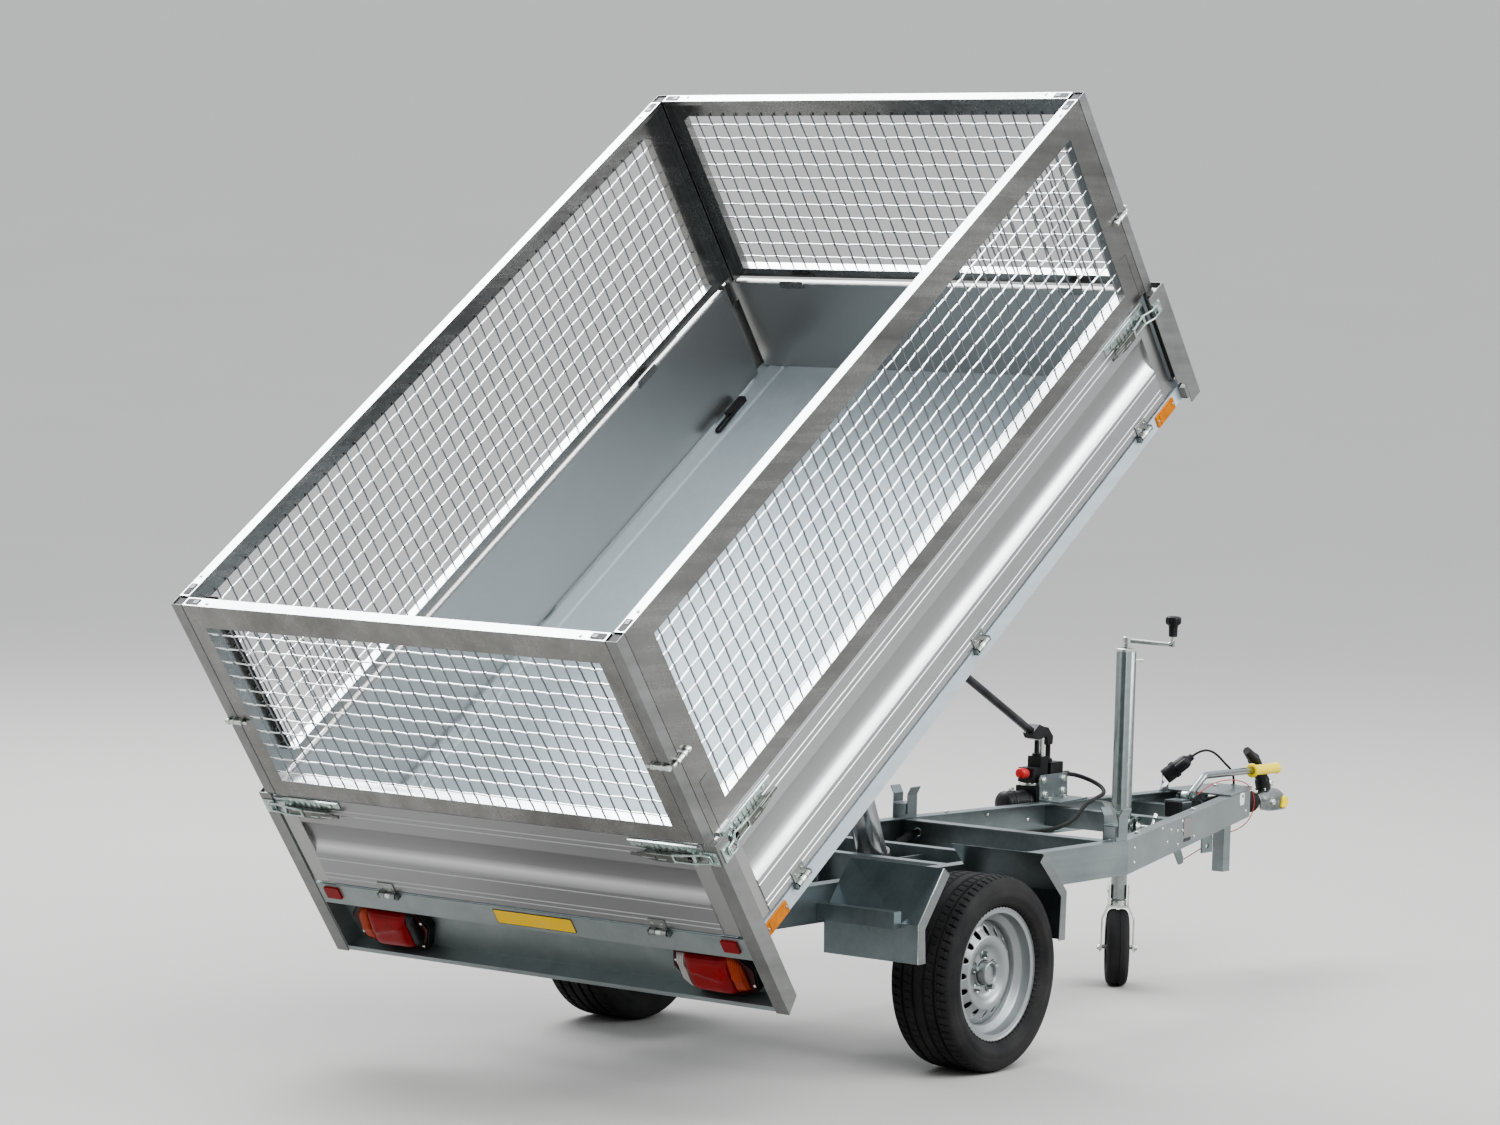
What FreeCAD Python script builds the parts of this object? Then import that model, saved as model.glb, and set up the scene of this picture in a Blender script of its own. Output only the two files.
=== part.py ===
import FreeCAD, Part
import math
import os

V = FreeCAD.Vector

# Bed position. The bed is drawn level and turned about its rear pivot at the end.
tipRest = 35.8            # angle of the raised bed
pivotX = -915.5           # bed pivot, measured from the axle
pivotZ = 540.0
bedRear = -1161.0         # outer face of the rear mesh frame, bed level
openZ = 985.0             # lower edge of the mesh openings, bed level
floorTop = 630.0
floorSheet = 2.0

# Bed sizes
bedLength = 2366.0        # over the mesh frames
frameHalf = 722.0         # half width over the mesh frames
openHeight = 501.0
topRail = 70.0            # height of the top rails
lowRail = 49.0            # height of the rails below the openings
rimDepth = 33.0           # width of the folded flanges
sheet = 2.0               # folded sheet of the mesh frames
stileSide = 88.0          # upright faces of the side frames
stileEnd = 46.0           # upright faces of the end frames
meshPost = 34.0           # corner angle between two frames
meshGap = 2.0
meshPitch = 45.0
wireRadius = 2.0

# Dropside boards
boardHeight = 295.0
boardBottom = 636.0
boardDepth = 28.0
boardWall = 2.0
endPlate = 55.0           # flat plate at the ends of a board
hingeDrop = 12.0          # board pivot below the board
hingeOut = 8.0            # board pivot outside the board
hingePin = 4.0
hingeBore = 4.08

# Corner posts of the bed
postSheet = 3.0
postWide = 50.0
postTop = 934.0
postFoot = 568.0
hatY = 370.0              # long rails under the bed

# Chassis
beamOuter = 395.0         # web of the long beams
beamFlange = 42.0
beamTop = 510.0
beamHeight = 100.0
beamSheet = 3.5
kinkX = 1070.0
noseX = 2280.0
noseOuter = 78.0
noseTop = 547.0
noseHeight = 86.0
memberTop = 512.0         # channels between the beams of the drawbar
memberLow = 453.0
clampX = 1612.0           # channel that holds the jockey wheel
brakeX = 1946.0           # channel that holds the hand brake
seat = 0.3                # gap where two parts are seated on each other

# Running gear
tyreRadius = 262.5
tyreWidth = 195.0
wheelY = 597.0
rimFlange = 178.5
beadRadius = 165.0
rimWidth = 140.0
hubFace = 627.0
axleTubeX = 150.0
axleTubeZ = 362.0
axleTube = 80.0

# Jockey wheel
jockeyX = clampX - 42.0
jockeyY = -52.0
jockeyTop = 1018.0
jockeyRadius = 115.0
jockeyWidth = 66.0
jockeyTurn = 35.0         # way the swivelled wheel points, from X towards Y
jockeyLift = 130.0        # travel of the inner tube

# Tipping ram
ramX = 400.0              # trunnion
ramZ = 400.0
ramEyeX = 250.0           # eye under the bed, bed level
ramEyeZ = 585.0
ramBelow = 215.0          # barrel below the trunnion
ramBarrel = 315.0
ramStages = [50.0, 42.0, 34.0, 26.0, 18.0]

# Coupling
couplingReach = 275.0     # from the beams' nose to the ball
ballX = noseX + couplingReach
couplingZ = 492.0
headFront = ballX + 53.0
houseRear = noseX - 190.0
houseFront = noseX + 52.0
postX = noseX - 35.0      # support post below the housing
leverPivot = brakeX + 29.0
leverBend = brakeX + 124.0
leverEnd = ballX - 55.0

# Electric plug on its saddle, parked with its mouth down to the left
plugFace = (2058.0, 100.0, 585.0)
plugAxis = (0.405, -0.661, 0.636)
plugLength = 104.0
plugRadius = 24.0

# Cords, as the points of their straight runs
leadWidth = 7.0
leadRoute = [(2294, -8, 556), (2294, -8, 577), (2280, -8, 603), (2244, -8, 620), (2208, -8, 644),
             (2172, -7, 663.5), (2142, -2, 672.5), (2122.6, 6.3, 671.3), (2108.2, 18.1, 663.8),
             (2100.1, 31.3, 651.1)]
cableWidth = 3.0
cableRoute = [(1992, -57, 546), (2030, -57, 560), (2080, -56, 574), (2135, -56, 581), (2192, -56, 581),
              (2248, -56, 574), (2302, -56, 561), (2340, -56, 526), (2350, -54, 484), (2336, -46, 443),
              (2318, -22, 414), (2296, 8, 400), (2262, 30, 393), (2212, 31, 370), (2160, 31, 354),
              (2110, 31, 341), (2063.5, 30.5, 331)]
hoseWidth = 13.0
hoseRoute = [(1772, 296, 596), (1821, 296, 596), (1858, 258, 581), (1858, 202, 560), (1818, 165, 545),
             (1758, 150, 540), (1692, 130, 534), (1628, 112, 532), (1580, 102, 508), (1535, 104, 480),
             (1480, 122, 464), (1415, 158, 456), (1340, 205, 452), (1260, 252, 450), (1180, 296, 452),
             (1112, 326, 460), (1060, 336, 467), (1004, 334, 457), (940, 331, 439), (860, 330, 430),
             (770, 330, 428), (679, 331, 429), (588.5, 330, 428.5), (498.8, 330, 428.5)]

crownTop = 2 * jockeyRadius + 12    # top of the jockey fork's crown
forkTop = crownTop + 60             # top of its two cheeks
bedFront = bedRear + bedLength
boardInner = frameHalf - 22.0    # inner face of the side boards
endHalf = frameHalf - 19.0       # half length of the end boards
floorHalf = frameHalf + 5.0      # half width over the floor's side rails
floorStep = frameHalf - 90.0     # where the floor rises to its edge strip
carrierHalf = frameHalf - 16.0   # half length of the light carrier
postOut = frameHalf + 28.0       # half width over the corner posts
rimTop = openZ + openHeight + topRail
frameLow = openZ - lowRail
tip = math.radians(tipRest)


def turned(x, z):
    # place of a bed point once the bed is raised
    dx, dz = x - pivotX, z - pivotZ
    return (pivotX + dx * math.cos(tip) - dz * math.sin(tip),
            pivotZ + dx * math.sin(tip) + dz * math.cos(tip))


rearmost = turned(bedRear, rimTop)[0]
shiftX = -0.5 * (rearmost + headFront)


def box(x0, x1, y0, y1, z0, z1):
    return Part.makeBox(x1 - x0, y1 - y0, z1 - z0, V(x0, y0, z0))


def fuse(shapes):
    shapes = list(shapes)
    out = shapes[0]
    if len(shapes) > 1:
        out = out.fuse(shapes[1:])
    return out.removeSplitter()


def cut(shape, tools):
    return shape.cut(tools)


def poly(points):
    pts = [V(*p) for p in points]
    return Part.Wire(Part.makePolygon(pts + [pts[0]]))


def slab(points, vector):
    return Part.Face(poly(points)).extrude(V(*vector))


def rod(a, b, radius):
    a, b = V(*a), V(*b)
    return Part.makeCylinder(radius, (b - a).Length, a, b - a)


def tube(a, b, outer, inner):
    return rod(a, b, outer).cut(rod(a, b, inner))


def mirrorY(shape):
    return shape.mirror(V(0, 0, 0), V(0, 1, 0))


def both(shape):
    return [shape, mirrorY(shape)]


def spin(profile, centre, axis):
    # solid of revolution; the profile lies in the plane of the axis
    return Part.Face(poly(profile)).revolve(V(*centre), V(*axis), 360)


def spinAlong(profile, start, direction):
    # solid of revolution about a free line; the profile pairs a distance along it with a radius
    o, d = V(*start), V(*direction).normalize()
    side = d.cross(V(0, 0, 1)).normalize()
    pts = [o + d * s + side * r for s, r in profile]
    return Part.Face(Part.Wire(Part.makePolygon(pts + [pts[0]]))).revolve(o, d, 360)


def cord(name, points, width):
    # round cord: straight runs joined by arcs that take 45 percent of the shorter run
    pts = [V(*p) for p in points]
    edges, start, least = [], pts[0], 1e9
    for a, b, c in zip(pts, pts[1:], pts[2:]):
        u, w = b - a, c - b
        half = 0.5 * u.getAngle(w)
        back = 0.45 * min(u.Length, w.Length)
        radius = back / math.tan(half)
        p, q = b - V(u).normalize() * back, b + V(w).normalize() * back
        centre = b + ((p - b) + (q - b)).normalize() * (radius / math.cos(half))
        mid = centre + (b - centre).normalize() * radius
        edges += [Part.LineSegment(start, p).toShape(), Part.Arc(p, mid, q).toShape()]
        start = q
        least = min(least, radius)
    edges.append(Part.LineSegment(start, pts[-1]).toShape())
    wire = Part.Wire(edges)
    ring = Part.Wire([Part.Circle(pts[0], pts[1] - pts[0], width / 2).toShape()])
    shape = wire.makePipeShell([ring], True, False)
    ratio = shape.Volume / (wire.Length * math.pi * width * width / 4)
    print("%s: length %.0f, least bend %.0f, volume ratio %.4f" % (name, wire.Length, least, ratio))
    return shape


def group(shapes):
    solids = []
    for shape in shapes:
        solids += shape.Solids
    return Part.makeCompound(solids)


# Chassis: long beams

def beamSection(x, outer, top, height):
    t, f = beamSheet, beamFlange
    low = top - height
    return poly([(x, -outer, top), (x, f - outer, top), (x, f - outer, top - t),
                 (x, t - outer, top - t), (x, t - outer, low + t), (x, f - outer, low + t),
                 (x, f - outer, low), (x, -outer, low)])


def longBeam():
    rear = beamSection(pivotX - 45, beamOuter, beamTop, beamHeight)
    kink = beamSection(kinkX, beamOuter, beamTop, beamHeight)
    nose = beamSection(noseX, noseOuter, noseTop, noseHeight)
    return fuse([Part.makeLoft([rear, kink], True, True), Part.makeLoft([kink, nose], True, True)])


def deck(x):
    # top of the long beams along the drawbar
    return beamTop + max(x - kinkX, 0) * (noseTop - beamTop) / (noseX - kinkX)


def web(x):
    # outer face of the long beams along the drawbar
    return beamOuter - max(x - kinkX, 0) * (beamOuter - noseOuter) / (noseX - kinkX)


def crossMember(x, width, opening):
    # folded channel between the beam webs; opening is 1 to the front, -1 to the rear
    half = beamOuter - beamSheet - seat
    t = beamSheet
    low, top = beamTop - beamHeight + t + seat, beamTop - t - seat
    body = box(x, x + width, -half, half, low, top)
    if opening > 0:
        hollow = box(x + t, x + width + 1, -half - 1, half + 1, low + t, top - t)
    else:
        hollow = box(x - 1, x + width - t, -half - 1, half + 1, low + t, top - t)
    return cut(body, [hollow])


def pivotBlock():
    # two lugs and the pin that the bed turns on
    z = beamTop + seat
    base = box(pivotX - 42, pivotX + 30, hatY - 29, hatY + 29, z, z + 4)
    parts = [base, rod((pivotX, hatY - 31, pivotZ), (pivotX, hatY + 31, pivotZ), 10)]
    for y in (hatY - 25, hatY + 19):
        lug = box(pivotX - 18, pivotX + 18, y, y + 6, z + 3, pivotZ)
        parts += [lug, rod((pivotX, y, pivotZ), (pivotX, y + 6, pivotZ), 18)]
    return fuse(parts)


def drawbarMembers():
    # two folded channels between the converging beams: jockey clamp and brake lever
    parts = []
    for x0, x1 in ((clampX, clampX + 44), (brakeX, brakeX + 50)):
        y0, y1 = web(x0) - beamSheet - 0.4, web(x1) - beamSheet - 0.4
        z0, z1 = memberLow, memberTop
        body = slab([(x0, -y0, z0), (x1, -y1, z0), (x1, y1, z0), (x0, y0, z0)], (0, 0, z1 - z0))
        inner = [(x0 + 4, -y0 - 9, z0 - 1), (x1 - 4, -y1 - 9, z0 - 1),
                 (x1 - 4, y1 + 9, z0 - 1), (x0 + 4, y0 + 9, z0 - 1)]
        parts.append(cut(body, [slab(inner, (0, 0, z1 - z0 - 3))]))
    return parts


def crossMembers():
    rear = crossMember(pivotX - 32, 64, 1)
    front = crossMember(kinkX - 58, 50, -1)
    hosePass = rod((kinkX - 20, hoseRoute[16][1], hoseRoute[16][2]), (kinkX, hoseRoute[16][1], hoseRoute[16][2]),
                   hoseWidth / 2 + 7)
    front = cut(front, [hosePass])
    ramFront = crossMember(ramX + 95, 40, 1)
    ramRear = crossMember(ramX - 200, 40, -1)
    parts = [front, rear] + both(pivotBlock())
    cheek = box(ramX - 200, ramX + 135, 70, 78, ramZ - 40, beamTop - 25)
    cheek = cheek.cut(rod((ramX, 60, ramZ), (ramX, 90, ramZ), 16.08))
    parts.append(fuse([ramFront, ramRear] + both(cheek)))
    return parts


def restBracket():
    x = kinkX - 33
    y = hatY
    z = beamTop + seat
    shell = box(x - 30, x + 30, y - 23, y + 23, z, z + 44)
    shell = cut(shell, [box(x - 31, x + 31, y - 20, y + 20, z - 1, z + 41)])
    ears = []
    for s in (1, -1):
        inner = 27.0
        pts = [(x - 24, y + s * 23, z + 12), (x - 24, y + s * inner, z + 12),
               (x - 24, y + s * inner, z + 70), (x - 24, y + s * (inner + 12), z + 92),
               (x - 24, y + s * (inner + 9), z + 94), (x - 24, y + s * (inner - 3), z + 71),
               (x - 24, y + s * (inner - 3), z + 46), (x - 24, y + s * 23, z + 44)]
        ears.append(slab(pts, (48, 0, 0)))
    return fuse([shell] + ears)


def hookBracket():
    # plate under the brake channel that the breakaway cable ends on
    x, y, z = cableRoute[-1]
    top = memberLow - seat
    pts = [(brakeX, top), (brakeX + 50, top), (x, z + 9), (x, z - 9), (x - 20, z - 13), (brakeX + 14, top - 23)]
    return slab([(px, y - 3.5, pz) for px, pz in pts], (0, 7, 0))


def plugSaddle():
    # upright plate on the left beam, hollowed for the plug
    x0, x1 = plugFace[0] - 13, plugFace[0] + 17
    y0 = plugFace[1] - 4
    top = plugFace[2] + 5
    plate = slab([(x0, y0, deck(x0) + seat), (x1, y0, deck(x1) + seat), (x1, y0, top), (x0, y0, top)],
                 (0, 24, 0))
    hollow = spinAlong([(-60, 0), (-60, plugRadius + seat), (120, plugRadius + seat), (120, 0)],
                       plugFace, plugAxis)
    return cut(plate, [hollow])


def leverStub():
    # short square tube behind the brake channel
    x0, x1 = brakeX - 66, brakeX - seat
    body = box(x0, x1, -61, -11, 487, 537)
    return cut(body, [box(x0 - 1, x1 - 4, -58, -14, 490, 534)])


# Axle with its arms, stubs and brake plates

def axle():
    h = axleTube / 2
    top = beamTop - beamHeight - seat
    bar = box(axleTubeX - h, axleTubeX + h, -470, 470, axleTubeZ - h, axleTubeZ + h)
    bar = cut(bar, [box(axleTubeX - h + 5, axleTubeX + h - 5, -471, 471,
                        axleTubeZ - h + 5, axleTubeZ + h - 5)])
    parts = [bar]
    for s in (1, -1):
        pad = box(axleTubeX - 70, axleTubeX + 70, min(s * 355, s * 400), max(s * 355, s * 400),
                  axleTubeZ + h, top)
        arm = Part.Face(poly([(axleTubeX + 42, s * 470, axleTubeZ - 34),
                              (axleTubeX + 42, s * 470, axleTubeZ + 34),
                              (axleTubeX - 30, s * 470, axleTubeZ + 42),
                              (-34, s * 470, tyreRadius + 20), (-34, s * 470, tyreRadius - 26),
                              (20, s * 470, tyreRadius - 34)])).extrude(V(0, s * 26, 0))
        stub = rod((0, s * 494, tyreRadius), (0, s * (hubFace - 8), tyreRadius), 14)
        plate = rod((0, s * 500, tyreRadius), (0, s * 506, tyreRadius), 116)
        parts += [pad, arm, stub, plate]
    return fuse(parts)


# Wheels

def tyre(side):
    w, r, b = tyreWidth / 2, tyreRadius, beadRadius + 0.3
    t = 11.0
    c = side * wheelY
    h = rimWidth / 2 - 0.4
    lip = rimFlange + 1
    outer = [(b, -h), (lip, -h), (lip + 3, -h - 12), (b + 48, -w), (r - 28, -w + 3), (r - 8, -w + 16),
             (r, -w + 34), (r, w - 34), (r - 8, w - 16), (r - 28, w - 3), (b + 48, w),
             (lip + 3, h + 12), (lip, h), (b, h)]
    inner = [(b, h - 14), (lip + 3, h - 4), (b + 48, w - t), (r - 32, w - t - 4), (r - t - 3, w - 40),
             (r - t - 3, 40 - w), (r - 32, t + 4 - w), (b + 48, t - w), (lip + 3, 4 - h), (b, 14 - h)]
    pts = [(0, c + y, tyreRadius + q) for q, y in outer + inner]
    solid = spin(pts, (0, c, tyreRadius), (0, 1, 0))
    grooves = []
    for y in (-48, -16, 16, 48):
        ring = tube((0, c + y - 4, tyreRadius), (0, c + y + 4, tyreRadius), r + 1, r - 7)
        grooves.append(ring)
    return cut(solid, grooves)


def rim(side):
    c = side * wheelY
    h = rimWidth / 2
    face = side * (hubFace - wheelY)
    o, b = rimFlange, beadRadius
    t = 3.0
    line = [(o, -h - 6), (o - 4, -h), (b, -h), (b - 1, -h + 24), (b - 22, -h + 36), (b - 22, h - 40),
            (b - 1, h - 26), (b, h), (o - 4, h), (o, h + 6)]
    back = [(q - t, y) for q, y in reversed(line)]
    back[0:3] = [(o - t, h + 6), (o - 4 - t, h + t), (b - t, h + t)]
    back[-3:] = [(b - t, -h - t), (o - 4 - t, -h - t), (o - t, -h - 6)]
    barrel = spin([(0, c + y, tyreRadius + q) for q, y in line + back], (0, c, tyreRadius), (0, 1, 0))
    f = face
    k = side
    disc = [(30, f), (58, f), (72, f + k * 16), (96, f + k * 18), (118, f - k * 4), (b - 26, f - k * 14),
            (b - 25, f - k * 24), (b - 29, f - k * 24), (118, f - k * 8), (95, f + k * 14),
            (73, f + k * 12), (60, f - k * 4), (30, f - k * 4)]
    web = spin([(0, c + y, tyreRadius + q) for q, y in disc], (0, c, tyreRadius), (0, 1, 0))
    holes = []
    for i in range(16):
        a = 2 * math.pi * i / 16
        x, z = 106 * math.cos(a), 106 * math.sin(a)
        holes.append(rod((x, c - 60, tyreRadius + z), (x, c + 60, tyreRadius + z), 8))
    web = cut(web, holes)
    drum = spin([(0, side * y, tyreRadius + q) for q, y in
                 [(14.08, 545), (14.08, 590), (30, 590), (30, 622.7), (104, 622.7), (112, 612), (112, 512),
                  (106, 512), (106, 606), (60, 614), (40, 584), (40, 545)]],
                (0, 0, tyreRadius), (0, 1, 0))
    bolts = []
    for i in range(5):
        a = 2 * math.pi * i / 5 + 0.3
        x, z = 49 * math.cos(a), 49 * math.sin(a)
        bolts.append(rod((x, side * (hubFace - 4), tyreRadius + z),
                         (x, side * (hubFace + 9), tyreRadius + z), 8.5))
    cap = tube((0, side * (hubFace - 4), tyreRadius), (0, side * (hubFace + 24), tyreRadius), 31, 26)
    cap = cap.fuse(rod((0, side * (hubFace + 24), tyreRadius), (0, side * (hubFace + 28), tyreRadius), 27))
    return fuse([barrel, web, cap] + bolts), drum


def guard(points, side):
    # folded sheet round one quarter of the wheel, with a flange on its outer edge
    t = 2.0
    n = len(points)
    back = []
    for i, (x, z) in enumerate(points):
        a = points[max(i - 1, 0)]
        b = points[min(i + 1, n - 1)]
        dx, dz = b[0] - a[0], b[1] - a[1]
        d = math.hypot(dx, dz)
        back.append((x - t * dz / d, z + t * dx / d))
    inner, outer = beamOuter + seat, wheelY + tyreWidth / 2 + 4.5
    strip = slab([(x, inner, z) for x, z in points + back[::-1]], (0, outer - inner, 0))
    wide = []
    for i, (x, z) in enumerate(points):
        a = points[max(i - 1, 0)]
        b = points[min(i + 1, n - 1)]
        dx, dz = b[0] - a[0], b[1] - a[1]
        d = math.hypot(dx, dz)
        wide.append((x - 30 * dz / d, z + 30 * dx / d))
    flange = slab([(x, outer - t, z) for x, z in points + wide[::-1]], (0, t, 0))
    out = fuse([strip, flange])
    return out if side > 0 else mirrorY(out)


def mudguards(side):
    rear = guard([(-300, 572), (-408, 432), (-404, 330)], side)
    front = guard([(282, 330), (284, 462), (172, 572)], side)
    out = []
    for sheetPart, x0, x1, z in ((rear, -440, -408, 442), (front, 284, 316, 446)):
        y0, y1 = beamOuter + seat, wheelY + 43
        bar = box(x0, x1, y0, y1, z - 22, z + 22)
        bar = cut(bar, [box(x0 + 3, x1 - 3, y0 + 3, y1 + 1, z - 19, z + 19)])
        out.append(fuse([sheetPart, bar if side > 0 else mirrorY(bar)]))
    return out


# Coupling, hand brake, support post

def coupling():
    z = couplingZ
    house = tube((houseRear, 0, z), (houseFront, 0, z), 33, 25 + seat)
    x0, x1 = houseRear - 10, houseFront - 26
    low0, low1 = deck(x0) + seat, deck(x1) + seat
    wedge = slab([(x0, -140, low0), (x1, -140, low1), (x1, -140, low1 + 5), (x0, -140, low0 + 5)],
                 (0, 280, 0))
    plan = slab([(x0, -web(x0) + 2, 500), (x1, -web(x1) + 2, 500), (x1, web(x1) - 2, 500),
                 (x0, web(x0) - 2, 500)], (0, 0, 80))
    plate = wedge.common(plan)
    ribs = [box(x, x + 12, -22, 22, z + 28, deck(x + 6) + 2) for x in (houseRear + 10, houseFront - 92)]
    gx, gy, gz = leadRoute[0]
    ribs.append(rod((gx, gy, gz - 6), (gx, gy, gz), leadWidth / 2 + 5.5))
    ex = houseRear + 65
    eye = box(ex - 30, ex + 30, -3, 3, z - 142, z - 29)
    ribs.append(cut(eye, [rod((ex, -4, z - 120), (ex, 4, z - 120), 9)]))
    neck = rod((houseRear + 10, 0, z), (ballX - 105, 0, z), 25)
    plan = [(ballX - 125, 34), (ballX - 85, 42), (ballX - 25, 46), (ballX + 35, 38), (headFront, 18)]
    plan += [(x, -y) for x, y in plan[::-1]]
    head = slab([(x, y, z - 44) for x, y in plan], (0, 0, 78))
    head = cut(head, [Part.makeSphere(25.1, V(ballX, 0, z - 30)),
                      rod((ballX, 0, z - 80), (ballX, 0, z - 30), 25.1)])
    return [fuse([house, plate] + ribs), fuse([neck, head])]


def couplingHandle():
    z = couplingZ
    pts = [(-65, 34.3), (-35, 34.3), (-55, 70), (-115, 140), (-155, 172), (-183, 166), (-175, 152), (-131, 116),
           (-85, 62)]
    return slab([(ballX + dx, -13, z + dz) for dx, dz in pts], (0, 26, 0))


def bellows():
    z = couplingZ
    x0, x1 = houseFront + 4, ballX - 129
    step = (x1 - x0 - 6) / 6
    pts = [(25.3, x0)]
    for i in range(6):
        pts += [(34, x0 + 4 + i * step), (29, x0 + 4 + (i + 0.5) * step)]
    pts += [(25.3, x1)]
    return spin([(x, 0, z + q) for q, x in pts], (x0, 0, z), (1, 0, 0))


def handbrake():
    y = -36.0
    z = couplingZ
    low = z + 46
    path = [V(leverPivot, y, low), V(leverBend, y, z + 108), V(leverEnd, y, z + 104)]
    a, b, c = path
    r = 45.0
    turn = 0.5 * (b - a).getAngle(c - b)
    k = r * math.tan(turn)
    p = b - (b - a).normalize() * k
    q = b + (c - b).normalize() * k
    centre = V(b.x, b.y, b.z) + ((p - b) + (q - b)).normalize() * (r / math.cos(turn))
    mid = centre + (b - centre).normalize() * r
    wire = Part.Wire([Part.LineSegment(a, p).toShape(), Part.Arc(p, mid, q).toShape(),
                      Part.LineSegment(q, c).toShape()])
    ring = Part.Wire([Part.Circle(a, (p - a), 11).toShape()])
    bar = wire.makePipeShell([ring], True, False)
    x, z0 = leverPivot, memberTop + seat
    foot = fuse([rod((x, y - 14, low), (x, y + 14, low), 22),
                 box(x - 23, x + 17, y - 24, y - 18, z0, low + 16),
                 box(x - 23, x + 17, y + 18, y + 24, z0, low + 16),
                 box(x - 27, x + 19, y - 24, y + 24, z0, z0 + 3.7),
                 rod((x, y - 28, low), (x, y + 28, low), 9)])
    grip = tube((leverEnd - 148, y, z + 105.2), (leverEnd + 12, y, z + 104.0), 17, 11.3)
    return [fuse([bar, foot]), grip]


def supportPost():
    x = postX
    top = couplingZ - 33 - seat
    post = box(x - 20, x + 20, -20, 20, 285, top)
    post = cut(post, [box(x - 17, x + 17, -17, 17, 284, top - 4)])
    return post


# Jockey wheel

def jockeyOuter():
    x, y = jockeyX, jockeyY
    low = forkTop + jockeyLift + 6
    shell = tube((x, y, low), (x, y, jockeyTop - 4), 30, 26.5)
    guide = tube((x, y, low), (x, y, low + 24), 30, 24.08)
    cap = rod((x, y, jockeyTop - 4), (x, y, jockeyTop), 30)
    collar = tube((x, y, 455), (x, y, 505), 38, 29)
    bracket = box(x + 33, clampX - seat, y - 40, y + 40, memberLow - 4, memberTop - 1)
    stem = rod((x, y, jockeyTop), (x, y, jockeyTop + 30), 9)
    ex, ey = 0.35, -0.937
    length = 140.0
    bx, by = x + ex * length, y + ey * length
    arm2 = rod((x, y, jockeyTop + 24), (bx, by, jockeyTop + 18), 6)
    up = rod((bx, by, jockeyTop + 12), (bx, by, jockeyTop + 52), 6)
    knob = spin([(bx, by, jockeyTop + 42), (bx + 12, by, jockeyTop + 42), (bx + 13, by, jockeyTop + 78),
                 (bx + 22, by, jockeyTop + 84), (bx + 22, by, jockeyTop + 98),
                 (bx + 14, by, jockeyTop + 104), (bx, by, jockeyTop + 104)], (bx, by, 0), (0, 0, 1))
    knob = cut(knob, [rod((bx, by, jockeyTop + 40), (bx, by, jockeyTop + 52.3), 6.3)])
    strap = slab([(x - 125, y - 15, 566), (x - 85, y - 15, 558), (x - 58, y - 15, 535), (x - 39, y - 15, 492),
                  (x - 33, y - 15, 492), (x - 54, y - 15, 537.5), (x - 83, y - 15, 561),
                  (x - 124.4, y - 15, 569)], (0, 30, 0))
    return fuse([shell, guide, cap, collar, bracket, stem, arm2, up, strap]), knob


def swivelled(shape):
    # turned about the jockey wheel's upright tube
    out = shape.copy()
    out.rotate(V(jockeyX, jockeyY, 0), V(0, 0, 1), jockeyTurn)
    return out


def jockeyLeg():
    x, y = jockeyX, jockeyY
    leg = tube((x, y, 262), (x, y, 700), 24, 20)
    bush = tube((x, y, 262), (x, y, 290), 22, 16.08)
    return fuse([leg, bush])


def jockeyFork():
    # cheeks are welded to the crown and widen around the wheel
    x, y = jockeyX, jockeyY
    wide = jockeyWidth / 2 + 17
    narrow = 31.0
    z = jockeyRadius
    post = rod((x, y, crownTop - 2), (x, y, crownTop + 88), 16)
    crown = box(x - 18, x + 18, y - narrow, y + narrow, crownTop - 6, crownTop)
    disc = rod((x, y, crownTop), (x, y, crownTop + 16), 23)
    cheeks = []
    for s in (1, -1):
        line = [(narrow, forkTop), (narrow, crownTop + 1), (wide, z + 86), (wide, z - 10),
                (wide - 4, z - 10), (wide - 4, z + 84), (narrow - 4, crownTop - 1), (narrow - 4, forkTop)]
        cheeks.append(slab([(x - 18, y + s * d, h) for d, h in line], (36, 0, 0)))
    pin = rod((x, y - wide - 5, z), (x, y + wide + 5, z), 6)
    return fuse([post, crown, disc, pin] + cheeks)


def jockeyWheel():
    x, y, z = jockeyX, jockeyY, jockeyRadius
    w = jockeyWidth / 2
    r = jockeyRadius
    ty = spin([(x, y - w + 4, z + 68.3), (x, y - w, z + 74), (x, y - w, z + r - 16), (x, y - w + 8, z + r - 3),
               (x, y - w + 16, z + r), (x, y + w - 16, z + r), (x, y + w - 8, z + r - 3),
               (x, y + w, z + r - 16), (x, y + w, z + 74), (x, y + w - 4, z + 68.3)],
              (x, y, z), (0, 1, 0))
    hub = spin([(x, y - w - 2, z + 6.08), (x, y - w - 2, z + 20), (x, y - 4, z + 22), (x, y - 4, z + 56),
                (x, y - w + 4, z + 58), (x, y - w + 4, z + 68), (x, y + w - 4, z + 68),
                (x, y + w - 4, z + 58), (x, y + 4, z + 56), (x, y + 4, z + 22), (x, y + w + 2, z + 20),
                (x, y + w + 2, z + 6.08)], (x, y, z), (0, 1, 0))
    return ty, hub


# Hand pump on the left beam

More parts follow.
